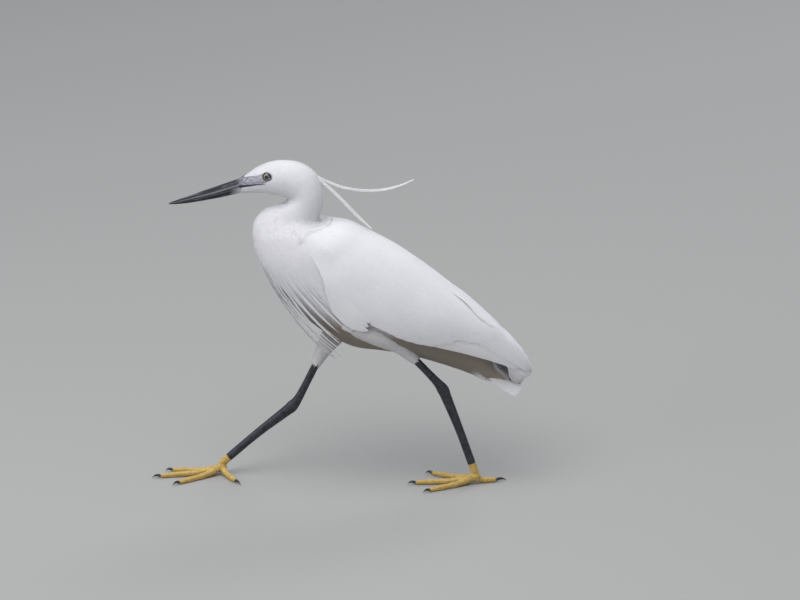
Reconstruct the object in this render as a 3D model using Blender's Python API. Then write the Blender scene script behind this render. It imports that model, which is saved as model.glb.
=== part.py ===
"""Little egret, life size, in mid-stride: a still model in named parts, one solid for each.

Sizes are in millimetres until MM turns them into metres. X runs from the bill to the tail, Y towards the
bird's right, Z up. The ground is Z = 0, and at the end the model is moved so that its box stands centred on
the origin.
"""

import math
import random

import bmesh
import bpy
import numpy as np
from mathutils import Matrix, Vector

MM = 0.001
GAP = 0.35  # kept between parts that touch
SIDES = {"left": -1, "right": 1}  # the sign of Y on each side
AROUND = 24  # corners of a cross-section of the trunk

# Cross-sections of the bird from the bill to the rump, in order along the S of the neck. Each has a point on
# the back line (x, z), a point on the throat, breast and belly line (x, z), its half width, and how high up
# the section it is widest, from 0 at the belly to 1 at the back.
TRUNK = {
    "bill_base": ((-110.2, 343.5), (-112.3, 326.5), 6.0, 0.52),
    "lore": ((-100.4, 350.8), (-102.6, 326.7), 8.6, 0.50),
    "eye_front": ((-90.7, 357.0), (-92.9, 327.1), 11.6, 0.50),
    "eye_back": ((-77.8, 361.6), (-82.1, 325.9), 14.2, 0.50),
    "crown": ((-62.6, 362.7), (-72.4, 324.2), 16.2, 0.50),
    "crown_back": ((-47.8, 360.2), (-64.8, 321.9), 17.2, 0.50),
    "nape_top": ((-35.2, 352.8), (-61.0, 320.2), 17.5, 0.50),
    "nape": ((-26.5, 341.5), (-60.3, 318.9), 17.5, 0.50),
    "neck_top": ((-22.4, 327.8), (-62.1, 317.1), 17.5, 0.50),
    "neck_mid": ((-22.9, 314.7), (-68.0, 314.0), 18.0, 0.50),
    "neck_low": ((-25.6, 304.6), (-78.4, 311.8), 19.0, 0.52),
    "neck_fold": ((-28.1, 297.6), (-88.0, 306.8), 20.5, 0.55),
    "back_start": ((-26.3, 295.4), (-95.4, 299.0), 23.0, 0.60),
    "bulge_top": ((-22.7, 296.0), (-99.2, 289.0), 26.0, 0.62),
    "bulge": ((-16.2, 296.2), (-99.6, 275.6), 30.0, 0.62),
    "shoulder_front": ((-5.4, 293.6), (-96.2, 258.2), 34.0, 0.62),
    "shoulder": ((7.6, 288.8), (-88.2, 240.4), 38.0, 0.61),
    "breast_top": ((22.7, 280.8), (-76.0, 221.2), 40.0, 0.60),
    "breast": ((41.0, 271.2), (-59.4, 202.4), 42.0, 0.60),
    "breast_low": ((59.4, 260.2), (-39.6, 183.6), 42.8, 0.60),
    "belly_front": ((82.1, 244.2), (-16.6, 166.2), 42.6, 0.60),
    "belly": ((104.2, 227.1), (9.0, 153.8), 40.8, 0.60),
    "belly_back": ((121.3, 212.6), (38.8, 149.6), 37.5, 0.60),
    "flank": ((137.8, 198.6), (66.8, 144.6), 32.5, 0.60),
    "rump": ((153.6, 185.2), (94.6, 136.4), 26.0, 0.60),
}
# The torso closes to the root of the tail, while the folded wings run on over it to their tips.
TAIL_COVERTS = {
    "vent": ((164.0, 167.0), (118.2, 128.4), 19.0, 0.58),
    "under_tail": ((163.8, 147.5), (137.6, 120.6), 12.0, 0.55),
    "tail_root": ((165.4, 133.4), (152.0, 113.3), 8.5, 0.50),
}
WING_END = {
    "tertial": ((168.4, 171.6), (119.4, 129.0), 20.0, 0.55),
    "tertial_tip": ((181.2, 158.6), (141.9, 121.4), 15.0, 0.55),
    "primary": ((191.2, 145.2), (162.4, 113.4), 10.0, 0.55),
    "primary_end": ((198.4, 131.6), (181.6, 107.4), 6.5, 0.55),
    "wing_tip": ((201.9, 119.6), (196.8, 113.6), 3.5, 0.55),
}
SECTION = {name: number for number, name in enumerate(TRUNK)}
SECTION.update({name: len(TRUNK) + number for number, name in enumerate(TAIL_COVERTS)})
SECTION.update({name: len(TRUNK) + number for number, name in enumerate(WING_END)})

HEAD_END = SECTION["nape"]
NECK_BEND = SECTION["neck_fold"]
BREAST_START = SECTION["bulge"]
TORSO_START = SECTION["breast_top"] + 0.4
TORSO_END = SECTION["tail_root"]
TORSO_STEPS = 19
CUT = 0.012  # of a section, on each side of a cut across the trunk

# The long narrow plumes of the breast: on each side, how many, the sections at which they start and end, how
# far round from the belly line the first and the last lie in degrees, and their share of the loosest hang.
PLUMES = {
    "left": ((6, (15.6, 17.0), (20.2, 20.9), (5, 32), 1.0), (6, (15.3, 16.8), (19.3, 20.6), (9, 50), 0.5)),
    "right": ((6, (15.6, 16.9), (18.9, 18.2), (5, 32), 1.0), (6, (15.3, 16.8), (18.3, 17.9), (9, 50), 0.5)),
}
PLUME_HANG = (0.0, 1.6, 3.4, 7.0, 12.0, 17.0, 21.5, 25.0)  # how far the loosest stand off, from the bulge on
PLUME_R = 1.05
PLUME_ROOT = -2.0
PLUME_STEPS = (0.0, 0.18, 0.40, 0.62, 0.83, 1.0)
PLUME_TAPER = 0.65
PLUME_GATHER = 0.12  # how much closer to the belly line the tips lie than the roots

# The folded wing: where its top edge lies, in degrees round from the back line, and how high its front and
# lower edge lies, from 0 at the belly to 1 at the back, at each section from the neck's bulge to the tip.
WING_START = SECTION["bulge"] + 0.25
WING_TOP_DEG = (64, 46, 36, 30, 26, 23, 21, 19, 17, 14, 11, 8, 7, 6, 6, 6)
WING_EDGE = (0.63, 0.59, 0.54, 0.50, 0.41, 0.32, 0.31, 0.38, 0.35, 0.37, 0.42, 0.46, 0.52, 0.61, 0.73, 0.84)
WING_CLEAR = 0.9  # inside the wing, so that its flat faces stay clear of the round of the body
WING_THICK = 3.7
WING_EDGE_THICK = 2.4
WING_TIP_THICK = 1.1
WING_CUTTER_SPREAD = 0.02  # of the wing's width, for each millimetre of a cutter's margin

EYE_CENTRE = (-83.0, 347.8)
EYE_R = 5.2
EYE_SINK = 3.9  # the eye's centre inside the cheek
EYE_SECTION = 2.62  # where on the trunk the cheek's width is taken
LID_R = 4.7
LID_THICK = 0.95
LID_HEIGHT = 0.92  # of its width
LID_SINK = 0.8
LID_TURN = math.radians(-10)  # the cheeks narrow towards the bill

# Bill stations from the tip back: x, the top line, the line of the mouth, the underside and the half width.
BILL = (
    (-189.0, 314.9, 314.4, 313.9, 0.5),
    (-184.0, 317.1, 315.4, 313.8, 1.5),
    (-172.8, 321.2, 318.0, 314.6, 2.4),
    (-160.0, 326.0, 321.2, 316.4, 3.0),
    (-146.0, 331.0, 324.7, 319.0, 3.6),
    (-132.0, 335.9, 328.9, 321.7, 4.3),
    (-120.0, 340.2, 332.9, 324.5, 5.0),
    (-111.6, 343.2, 335.6, 326.6, 5.6),
)
MOUTH_CORNER = (-86.0, 339.4)
MOUTH_REACH = 30.0  # how far the cutter of the mouth's line goes to each side
MOUTH_FRONT = (-114.6, 334.9)
MOUTH_HALF = 0.5
BILL_SLANT = 0.12  # how far the bill's base leans back with its height
BILL_LEAST = 0.3
NOSTRIL = (-117.0, 4.3, 337.2)
NOSTRIL_SIZE = (3.6, 0.75, 1.6)  # half length, half height and half depth

MATERIALS = {
    "white_feather": ((0.86, 0.86, 0.87), 0.75),
    "bill_black": ((0.030, 0.031, 0.036), 0.35),
    "eye_yellow": ((0.62, 0.56, 0.22), 0.10),
    "leg_black": ((0.022, 0.022, 0.028), 0.45),
    "foot_yellow": ((0.66, 0.50, 0.13), 0.50),
    "claw_black": ((0.035, 0.030, 0.025), 0.40),
}


def spline(values, t):
    """The smooth curve through the rows of values, at row number t."""
    values = np.asarray(values, float)
    last = len(values) - 1
    cell = min(max(int(math.floor(t)), 0), last - 1)
    u = t - cell
    before = values[cell - 1] if cell > 0 else 2 * values[0] - values[1]
    after = values[cell + 2] if cell < last - 1 else 2 * values[last] - values[last - 1]
    a, b = values[cell], values[cell + 1]
    bend = 2 * before - 5 * a + 4 * b - after
    twist = 3 * (a - b) + after - before
    return a + 0.5 * u * (b - before + u * (bend + u * twist))


def ease(value, start, end):
    """0 before start, 1 after end, smooth between."""
    u = min(max((value - start) / (end - start), 0.0), 1.0)
    return u * u * (3 - 2 * u)


class Surface:
    """The surface through a row of cross-sections. turn runs from 0 at the back to pi at the belly."""

    def __init__(self, *tables):
        rows = [row for table in tables for row in table.values()]
        self.rows = np.array([[*back, *belly, width, level] for back, belly, width, level in rows])

    def bare_point(self, t, turn, side):
        back_x, back_z, belly_x, belly_z, width, level = spline(self.rows, t)
        height = (1 + math.cos(turn)) / 2 + (level - 0.5) * math.sin(turn) ** 2
        return np.array(
            [
                belly_x + (back_x - belly_x) * height,
                side * width * math.sin(turn),
                belly_z + (back_z - belly_z) * height,
            ]
        )

    def point(self, t, turn, side, lift=0.0):
        """A point on the surface, or lift outside it."""
        here = self.bare_point(t, turn, side)
        if not lift:
            return here
        step = 0.01
        along = self.bare_point(t + step, turn, side) - self.bare_point(t - step, turn, side)
        across = self.bare_point(t, turn + step, side) - self.bare_point(t, turn - step, side)
        normal = np.cross(along, across)
        back_x, back_z, belly_x, belly_z, _, _ = spline(self.rows, t)
        centre = np.array([(back_x + belly_x) / 2, 0, (back_z + belly_z) / 2])
        if np.dot(normal, here - centre) < 0:
            normal = -normal
        return here + normal / np.linalg.norm(normal) * lift

    def ring(self, t, lift=0.0):
        turns = [2 * math.pi * i / AROUND for i in range(AROUND)]
        return [self.point(t, min(a, 2 * math.pi - a), 1 if a <= math.pi else -1, lift) for a in turns]

    def turn_at(self, t, height):
        """The turn at which the surface is this high up its section."""
        level = spline(self.rows, t)[5]
        turns = np.linspace(0, math.pi, 181)
        heights = (1 + np.cos(turns)) / 2 + (level - 0.5) * np.sin(turns) ** 2
        return float(np.interp(-height, -heights, turns))


TORSO = Surface(TRUNK, TAIL_COVERTS)
WING = Surface(TRUNK, WING_END)


def material(name):
    found = bpy.data.materials.get(name)
    if found:
        return found
    colour, roughness = MATERIALS[name]
    made = bpy.data.materials.new(name)
    made.use_nodes = True
    shader = made.node_tree.nodes["Principled BSDF"]
    shader.inputs["Base Color"].default_value = (*colour, 1.0)
    shader.inputs["Roughness"].default_value = roughness
    shader.inputs["Metallic"].default_value = 0.0
    return made


def as_object(bm, name, material_name):
    """The bmesh, in millimetres, as a smooth-shaded object in metres."""
    bmesh.ops.recalc_face_normals(bm, faces=bm.faces)
    bmesh.ops.scale(bm, vec=(MM, MM, MM), verts=bm.verts)
    mesh = bpy.data.meshes.new(name)
    bm.to_mesh(mesh)
    bm.free()
    mesh.materials.append(material(material_name))
    mesh.shade_smooth()
    mesh.set_sharp_from_angle(angle=math.radians(40))
    made = bpy.data.objects.new(name, mesh)
    bpy.context.scene.collection.objects.link(made)
    return made


def loft(name, rings, material_name):
    """A closed solid through rings of corners, capped at both ends."""
    bm = bmesh.new()
    loops = [[bm.verts.new(corner) for corner in ring] for ring in rings]
    for near, far in zip(loops, loops[1:]):
        for i in range(len(near)):
            j = (i + 1) % len(near)
            bm.faces.new((near[i], near[j], far[j], far[i]))
    bm.faces.new(list(reversed(loops[0])))
    bm.faces.new(loops[-1])
    return as_object(bm, name, material_name)


def shell(name, outer, inner, material_name):
    """A closed sheet between two like grids of points, with the same diagonals on both faces."""
    bm = bmesh.new()
    rows, columns = len(outer), len(outer[0])
    top = [[bm.verts.new(p) for p in row] for row in outer]
    bottom = [[bm.verts.new(p) for p in row] for row in inner]
    for i in range(rows - 1):
        for j in range(columns - 1):
            for grid in (top, bottom):
                a, b, c, d = grid[i][j], grid[i][j + 1], grid[i + 1][j + 1], grid[i + 1][j]
                bm.faces.new((a, b, c) if grid is top else (c, b, a))
                bm.faces.new((a, c, d) if grid is top else (d, c, a))
    edge = [(0, j) for j in range(columns)]
    edge += [(i, columns - 1) for i in range(1, rows)]
    edge += [(rows - 1, j) for j in range(columns - 2, -1, -1)]
    edge += [(i, 0) for i in range(rows - 2, 0, -1)]
    for (i, j), (k, m) in zip(edge, edge[1:] + edge[:1]):
        bm.faces.new((top[k][m], top[i][j], bottom[i][j]))
        bm.faces.new((top[k][m], bottom[i][j], bottom[k][m]))
    return as_object(bm, name, material_name)


# A feather of a wing, mantle or tail: how wide it is along its length, as shares of its widest.
VANE_STEPS = (0.0, 0.36, 0.70, 0.91, 1.0)
VANE_WIDTHS = (0.70, 0.90, 1.0, 0.80, 0.28)
VANE_THICK = 0.55
VANE_TILT = 0.7  # how far one edge is raised and the other lowered


def vane(place, tilt=0.0):
    """A thin feather. place(share of its length, share of its half width, lift) gives its corners."""
    bm = bmesh.new()
    rings = []
    for along, width in zip(VANE_STEPS, VANE_WIDTHS):
        ring = []
        for across, up in ((-1, 0.5), (0, 0.5), (1, 0.5), (1, -0.5), (0, -0.5), (-1, -0.5)):
            lift = up * VANE_THICK + across * width * tilt
            ring.append(bm.verts.new(place(along, across * width, lift)))
        rings.append(ring)
    for near, far in zip(rings, rings[1:]):
        for i, j in ((0, 1), (1, 2), (2, 3), (3, 4), (4, 5), (5, 0)):
            if i < 3:
                bm.faces.new((near[i], near[j], far[j]))
                bm.faces.new((near[i], far[j], far[i]))
            else:
                bm.faces.new((near[i], near[j], far[i]))
                bm.faces.new((near[j], far[j], far[i]))
    for ring in (rings[0], rings[-1]):
        a, b, c, d, e, f = ring
        bm.faces.new((a, b, e, f))
        bm.faces.new((b, c, d, e))
    return as_object(bm, "vane", "white_feather")


def boolean(target, operation, others):
    """Applies one Boolean of target with the others, removes them, and keeps the largest closed surface."""
    group = bpy.data.collections.new("pieces")
    for other in others:
        group.objects.link(other)
    modifier = target.modifiers.new(operation.title(), "BOOLEAN")
    modifier.operation = operation
    modifier.operand_type = "COLLECTION"
    modifier.collection = group
    modifier.solver = "EXACT"
    graph = bpy.context.evaluated_depsgraph_get()
    joined = bpy.data.meshes.new_from_object(target.evaluated_get(graph))
    target.modifiers.clear()
    target.data = joined
    for other in others:
        bpy.data.objects.remove(other)
    bpy.data.collections.remove(group)
    keep_largest(target)
    return target


def keep_largest(target):
    """Drops every closed surface of the object but its largest."""
    bm = bmesh.new()
    bm.from_mesh(target.data)
    bmesh.ops.remove_doubles(bm, verts=bm.verts, dist=2e-6)
    left, surfaces = set(bm.verts), []
    while left:
        reached, found = [left.pop()], set()
        while reached:
            vertex = reached.pop()
            found.add(vertex)
            near = {edge.other_vert(vertex) for edge in vertex.link_edges} & left
            left -= near
            reached.extend(near)
        surfaces.append(found)
    surfaces.sort(key=len)
    for surface in surfaces[:-1]:
        bmesh.ops.delete(bm, geom=list(surface), context="VERTS")
    bm.to_mesh(target.data)
    bm.free()
    target.data.shade_smooth()
    target.data.set_sharp_from_angle(angle=math.radians(40))


def trunk_piece(name, surface, start, end, steps, lift=0.0):
    stations = np.linspace(start, end, steps)
    return loft(name, [surface.ring(t, lift) for t in stations], "white_feather")


def ball(name, centre, radius, stretch=(1, 1, 1), material_name="white_feather", segments=12, rings=8):
    bm = bmesh.new()
    bmesh.ops.create_uvsphere(bm, u_segments=segments, v_segments=rings, radius=radius)
    bmesh.ops.scale(bm, vec=stretch, verts=bm.verts)
    bmesh.ops.rotate(bm, matrix=Matrix.Rotation(math.radians(90), 3, "X"), verts=bm.verts)
    bmesh.ops.translate(bm, vec=centre, verts=bm.verts)
    return as_object(bm, name, material_name)


def eye_place(side):
    """The centre of an eye: EYE_SINK inside the cheek's surface."""
    width = spline(TORSO.rows, EYE_SECTION)[4]
    return Vector((EYE_CENTRE[0], side * (width - EYE_SINK), EYE_CENTRE[1]))


def lid(side):
    """The raised ring of skin round an eye."""
    bm = bmesh.new()
    turns, sides = 16, 5
    loops = []
    for i in range(turns):
        a = 2 * math.pi * i / turns
        loop = []
        for j in range(sides):
            b = 2 * math.pi * j / sides
            r = LID_R + LID_THICK * math.cos(b)
            up = LID_HEIGHT * r * math.sin(a)
            loop.append(bm.verts.new((r * math.cos(a), LID_THICK * math.sin(b), up)))
        loops.append(loop)
    for near, far in zip(loops, loops[1:] + loops[:1]):
        for i in range(sides):
            j = (i + 1) % sides
            bm.faces.new((near[i], near[j], far[j], far[i]))
    centre = eye_place(side)
    centre.y += side * (EYE_SINK - LID_SINK)
    tilt = Matrix.Rotation(LID_TURN * side, 3, "Z")
    bmesh.ops.rotate(bm, matrix=tilt, verts=bm.verts)
    bmesh.ops.translate(bm, vec=centre, verts=bm.verts)
    return as_object(bm, "lid", "white_feather")


def make_head():
    head = trunk_piece("head", TORSO, 0, HEAD_END - CUT, 17)
    boolean(head, "UNION", [lid(side) for side in SIDES.values()])
    sockets = [ball("socket", eye_place(side), EYE_R + GAP) for side in SIDES.values()]
    mouth = mouth_slit()
    boolean(head, "DIFFERENCE", [*sockets, mouth])


def mouth_slit():
    """A thin wedge that carries the line of the mouth from the bill back to its corner under the eye."""
    x, z = MOUTH_FRONT
    corners = ((x, z - MOUTH_HALF), MOUTH_CORNER, (x, z + MOUTH_HALF))
    rings = [[(x, y, z) for x, z in corners] for y in (-MOUTH_REACH, MOUTH_REACH)]
    return loft("mouth", rings, "white_feather")


def make_eyes():
    for name, side in SIDES.items():
        ball("eye_" + name, eye_place(side), EYE_R, material_name="eye_yellow")


def make_bill():
    """Both halves of the bill, which meet along the line of the mouth."""
    steps = np.linspace(0, len(BILL) - 1, 12)
    turns = np.linspace(0, math.pi, 9)
    half_gap = GAP / 2
    for name, sign in (("bill_upper", 1), ("bill_lower", -1)):
        rings = []
        for t in steps:
            x, top, mouth, bottom, width = spline(BILL, t)
            height = (top - mouth if sign > 0 else mouth - bottom) - half_gap
            foot = mouth + sign * half_gap
            slant = BILL_SLANT * t / (len(BILL) - 1)
            ring = []
            for turn in turns:
                z = foot + sign * max(height, BILL_LEAST) * math.sin(turn)
                ring.append((x + slant * (z - mouth), width * math.cos(turn), z))
            rings.append(ring)
        bill = loft(name, rings, "bill_black")
        if sign > 0:
            x, y, z = NOSTRIL
            places = [(x, side * y, z) for side in SIDES.values()]
            slits = [ball("nostril", place, 1, NOSTRIL_SIZE, segments=8, rings=6) for place in places]
            boolean(bill, "DIFFERENCE", slits)


def limb_rings(path, radii, start, end, steps, corners=10, floor=None, upright=False):
    """Rings along a smooth path between two points of it. radii are fore-and-aft and sideways where the limb
    is upright, and otherwise up-and-down and sideways."""
    rings = []
    for t in np.linspace(start, end, steps):
        centre = spline(path, t)
        ahead = spline(path, t + 0.02) - spline(path, t - 0.02)
        ahead /= np.linalg.norm(ahead)
        side = np.array([0.0, 1.0, 0.0]) - ahead[1] * ahead if upright else np.cross(ahead, (0.0, 0.0, 1.0))
        side /= np.linalg.norm(side)
        up = np.cross(side, ahead)
        fore, lateral = spline(radii, t)
        ring = []
        for i in range(corners):
            a = 2 * math.pi * (i + 0.5) / corners
            corner = centre + side * lateral * math.sin(a) + up * fore * math.cos(a)
            if floor is not None:
                corner[2] = max(corner[2], floor)
            ring.append(corner)
        rings.append(ring)
    return rings


def leg_piece(name, path, radii, start, end, steps, material_name, corners=10):
    return loft(name, limb_rings(path, radii, start, end, steps, corners, upright=True), material_name)


# Crest: the two long narrow plumes that hang from the nape, as (x, y, z) along each and its half width.
CREST = {
    "crest_plume_upper": (
        (
            (-33.0, 1.8, 346.2), (-24.5, 2.2, 341.3), (-12.0, 2.6, 335.3), (2.7, 2.8, 330.5),
            (22.0, 3.0, 327.9), (41.3, 3.2, 328.9), (58.6, 3.4, 333.3), (74.6, 3.6, 340.4),
        ),
        (1.5, 1.6, 1.7, 1.8, 1.7, 1.6, 1.2, 0.45),
    ),
    "crest_plume_lower": (
        (
            (-29.8, -1.8, 344.5), (-22.3, -2.0, 337.6), (-10.9, -2.2, 327.2), (2.4, -2.4, 313.3),
            (15.6, -2.6, 299.4), (29.0, -2.8, 286.8),
        ),
        (1.6, 1.8, 2.0, 2.0, 1.8, 0.7),
    ),
}
CREST_FLATNESS = 0.55


def make_crest():
    for name, (path, widths) in CREST.items():
        radii = [(width, width * CREST_FLATNESS) for width in widths]
        rings = limb_rings(path, radii, 0, len(path) - 1, 12, corners=6)
        plume = loft(name, rings, "white_feather")
        inflated = trunk_piece("nape_cutter", TORSO, SECTION["crown"], SECTION["neck_mid"], 15, GAP)
        boolean(plume, "DIFFERENCE", [inflated])


def plume(side, start, end, turn, hang):
    """One plume of the breast, a tapering strand with three sides."""
    bm = bmesh.new()
    rings = []
    for along in PLUME_STEPS:
        t = start + along * (end - start)
        free = spline(np.array(PLUME_HANG)[:, None], t - SECTION["bulge"])[0] * hang
        lift = PLUME_ROOT + (free - PLUME_ROOT) * ease(along, -0.25, 0.45)
        r = PLUME_R * (1 - PLUME_TAPER * along ** 2)
        wide = math.degrees(r / spline(TORSO.rows, t)[4])
        corners = ((-wide, 0.5 * r), (wide, 0.5 * r), (0.0, -0.9 * r))
        ring = []
        for sideways, up in corners:
            a = math.radians(180 - turn * (1 - PLUME_GATHER * along) + sideways)
            ring.append(bm.verts.new(TORSO.point(t, a, side, lift + up)))
        rings.append(ring)
    for near, far in zip(rings, rings[1:]):
        for i, j in ((0, 1), (1, 2), (2, 0)):
            bm.faces.new((near[i], near[j], far[j]))
            bm.faces.new((near[i], far[j], far[i]))
    bm.faces.new(rings[0])
    bm.faces.new(rings[-1])
    return as_object(bm, "plume", "white_feather")


def make_breast():
    breast = trunk_piece("breast", TORSO, BREAST_START + CUT, TORSO_START - CUT, 8)
    plumes = []
    for name, side in SIDES.items():
        chance = random.Random(3)
        for count, (start_in, start_out), (end_in, end_out), (first, last), hang in PLUMES[name]:
            for number in range(count):
                slot = number / (count - 1)
                start = start_in + slot * (start_out - start_in) + chance.uniform(-0.1, 0.1)
                end = end_in + slot * (end_out - end_in) + chance.uniform(-0.25, 0.15)
                turn = first + slot * (last - first)
                loose = hang * (1 - 0.35 * slot) * chance.uniform(0.9, 1.0)
                plumes.append(plume(side, start, end, turn, loose))
    boolean(breast, "UNION", plumes)


def wing_turn(t, share):
    """How far round the body a point of the wing lies: share is 0 at its top edge and 1 at its front or
    lower edge."""
    at = t - SECTION["bulge"]
    top = math.radians(float(spline(np.array(WING_TOP_DEG)[:, None], at)[0]))
    low = WING.turn_at(t, float(spline(np.array(WING_EDGE)[:, None], at)[0]))
    return top + share * (low - top)


def wing_outer(t, share):
    """How far the wing's outer face stands off the body."""
    rise = ease(t, WING_START - 0.3, WING_START + 1.6)
    fall = 1 - ease(t, SECTION["rump"], SECTION["wing_tip"])
    middle = math.sin(math.pi * min(max(share, 0.0), 1.0)) ** 0.7
    full = WING_EDGE_THICK + (WING_THICK - WING_EDGE_THICK) * middle
    return WING_CLEAR + WING_TIP_THICK + rise * fall * (full - WING_TIP_THICK)


def wing_core(name, side, end, steps, columns=8, margin=0.0, feathers=0.0):
    """The wing's solid body. margin makes it larger all round and feathers thicker outside, for a cutter."""
    outer, inner = [], []
    for t in np.linspace(WING_START, end, steps):
        wider = margin * WING_CUTTER_SPREAD
        shares = np.linspace(-wider, 1 + wider, columns)
        outer.append([WING.point(t, wing_turn(t, b), side, wing_outer(t, b) + feathers) for b in shares])
        inner.append([WING.point(t, wing_turn(t, b), side, WING_CLEAR - margin) for b in shares])
    return shell(name, outer, inner, "white_feather")


# Rows of feathers on the folded wing, from the shoulder to the tip. Each row has its number of feathers, the
# sections at which they start and end at the wing's top edge and at its lower edge, the shares of the wing's
# width that the row covers, and how far the tips stand off.
WING_ROWS = {
    "median": (5, (4.3, 8.0), (4.0, 7.5), (0.02, 0.98), 2.1),
    "greater": (6, (6.1, 10.2), (5.6, 9.4), (0.02, 0.98), 2.1),
    "secondary": (6, (7.9, 13.4), (7.3, 11.7), (0.02, 0.90), 2.0),
    "primary": (3, (9.8, 14.9), (8.8, 14.4), (0.34, 0.98), 0.9),
}
VANE_OVERLAP = 1.36  # how much wider a feather is than its share of its row
VANE_ROOT_LIFT = -1.0


def wing_vane(side, row, number, chance):
    count, (start_top, end_top), (start_low, end_low), (first, last), rise = WING_ROWS[row]
    half = (last - first) / (2 * (count - 1 + VANE_OVERLAP)) * VANE_OVERLAP
    slot = number / (count - 1)
    middle = first + half + slot * (last - first - 2 * half)
    start = SECTION["bulge"] + start_top + slot * (start_low - start_top)
    end = SECTION["bulge"] + end_top + slot * (end_low - end_top) + chance.uniform(-0.12, 0.12)
    half *= chance.uniform(0.97, 1.0)

    def place(along, across, lift):
        t = start + along * (end - start)
        share = middle + across * half
        up = wing_outer(t, share) + VANE_ROOT_LIFT + along * (rise - VANE_ROOT_LIFT)
        return WING.point(t, wing_turn(t, share), side, up + lift)

    return vane(place, -VANE_TILT)


def make_wings():
    for name, side in SIDES.items():
        chance = random.Random(7)
        wing = wing_core("wing_" + name, side, SECTION["wing_tip"], 18)
        rows = [(row, number) for row in WING_ROWS for number in range(WING_ROWS[row][0])]
        boolean(wing, "UNION", [wing_vane(side, row, number, chance) for row, number in rows])


# The mantle lies along the back between the wings. It ends over the tertials.
MANTLE_START = SECTION["shoulder_front"] + 0.15
MANTLE_CLEAR = 0.55
MANTLE_END = SECTION["tertial"]
MANTLE_EDGE_THICK, MANTLE_THICK = 0.8, 2.1
MANTLE_GAP = 0.9  # sideways, between the mantle and the top edge of a wing


def mantle_outer(t):
    rise = ease(t, MANTLE_START - 0.3, MANTLE_START + 2.0)
    thin = 1 - 0.5 * ease(t, SECTION["flank"], MANTLE_END)
    return MANTLE_CLEAR + MANTLE_EDGE_THICK + MANTLE_THICK * rise * thin


def mantle_point(t, share, lift):
    """share runs from -1 at the mantle's left edge to 1 at its right edge."""
    width = spline(WING.rows, t)[4]
    reach = wing_turn(t, 0) - MANTLE_GAP / width
    return WING.point(t, abs(share) * reach, 1 if share >= 0 else -1, lift)


# Rows of feathers on the mantle: how many, the sections at which they start and end, and the share of the
# mantle's half width that the row covers.
MANTLE_ROWS = ((4, 2.6, 5.9, 0.94), (4, 4.6, 8.4, 0.94), (3, 7.0, 11.6, 0.90))
MANTLE_RISE = 1.7
MANTLE_SHORTER = 0.35  # of a section: how much sooner the outermost feathers of a row end


def mantle_vane(row, number, chance):
    """A feather of the mantle. Those nearer the middle lie over those nearer the wings."""
    count, start, end, reach = MANTLE_ROWS[row]
    half = reach / (count - 1 + VANE_OVERLAP) * VANE_OVERLAP
    slot = 2 * number / (count - 1) - 1
    middle = slot * (reach - half)
    longest = chance.uniform(-0.15, 0.1) - MANTLE_SHORTER * abs(slot)

    def place(along, across, lift):
        t = SECTION["bulge"] + start + along * (end - start + longest)
        up = mantle_outer(t) + VANE_ROOT_LIFT + along * (MANTLE_RISE - VANE_ROOT_LIFT)
        return mantle_point(t, middle + across * half, up + lift)

    return vane(place, VANE_TILT * -1 if slot < 0 else VANE_TILT)


def make_mantle():
    chance = random.Random(12)
    shares = np.linspace(-1, 1, 9)
    outer, inner = [], []
    for t in np.linspace(MANTLE_START, MANTLE_END, 13):
        outer.append([mantle_point(t, share, mantle_outer(t)) for share in shares])
        inner.append([mantle_point(t, share, MANTLE_CLEAR) for share in shares])
    mantle = shell("mantle", outer, inner, "white_feather")
    rows = [(row, number) for row in range(len(MANTLE_ROWS)) for number in range(MANTLE_ROWS[row][0])]
    boolean(mantle, "UNION", [mantle_vane(row, number, chance) for row, number in rows])


# The tail: a short root in the tail coverts, and twelve feathers that lie round it like a steep roof. Rings
# of the root: how far along, half width and half height.
TAIL_START = (159.0, 123.15)
TAIL_SLOPE = math.radians(-33.5)
TAIL_ROOT = ((0.0, 8.0, 10.5), (6.0, 8.6, 8.4), (13.0, 8.8, 5.4), (20.0, 8.6, 2.6), (25.0, 7.0, 1.0))
TAIL_LENGTH = 37.8
TAIL_HALF_WIDTHS = (7.0, 14.5)
TAIL_ROOF = math.radians(78)  # how far round the outermost feathers lie from the middle ones
TAIL_RISE = 7.5  # how far the ridge stands above the middle of the root at the feathers' ends
TAIL_FEATHERS = 12
TAIL_FEATHER_HALF = 3.6
TAIL_TILT = 1.0  # how much higher the outer edge of a feather lies than its middle
TAIL_FEATHER_START = 0.12
TAIL_ROUNDING = 0.12  # how much shorter the outermost feathers are


def tail_frame(along, across, up):
    """A point of the tail: along it from its start, to the right, and up from its middle, in millimetres."""
    x = TAIL_START[0] + along * math.cos(TAIL_SLOPE) - up * math.sin(TAIL_SLOPE)
    z = TAIL_START[1] + along * math.sin(TAIL_SLOPE) + up * math.cos(TAIL_SLOPE)
    return np.array([x, across, z])


def tail_feather(number, chance):
    """One of the tail's feathers. Each lies over the next one out."""
    slot = 2 * (number + 0.5) / TAIL_FEATHERS - 1
    angle = slot * TAIL_ROOF
    near, far = TAIL_HALF_WIDTHS
    length = TAIL_LENGTH * (1 - TAIL_ROUNDING * slot * slot) * chance.uniform(0.985, 1.0)
    outwards = 1 if slot > 0 else -1

    def place(along, across, lift):
        share = TAIL_FEATHER_START + along * (1 - TAIL_FEATHER_START)
        radius = near + (far - near) * share
        reach = across * TAIL_FEATHER_HALF * (0.5 + 0.5 * along)
        lift += across * outwards * TAIL_TILT
        sideways = (radius + lift) * math.sin(angle) + reach * math.cos(angle)
        up = TAIL_RISE * share - radius + (radius + lift) * math.cos(angle) - reach * math.sin(angle)
        return tail_frame(share * length, sideways, up)

    return vane(place)


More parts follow.
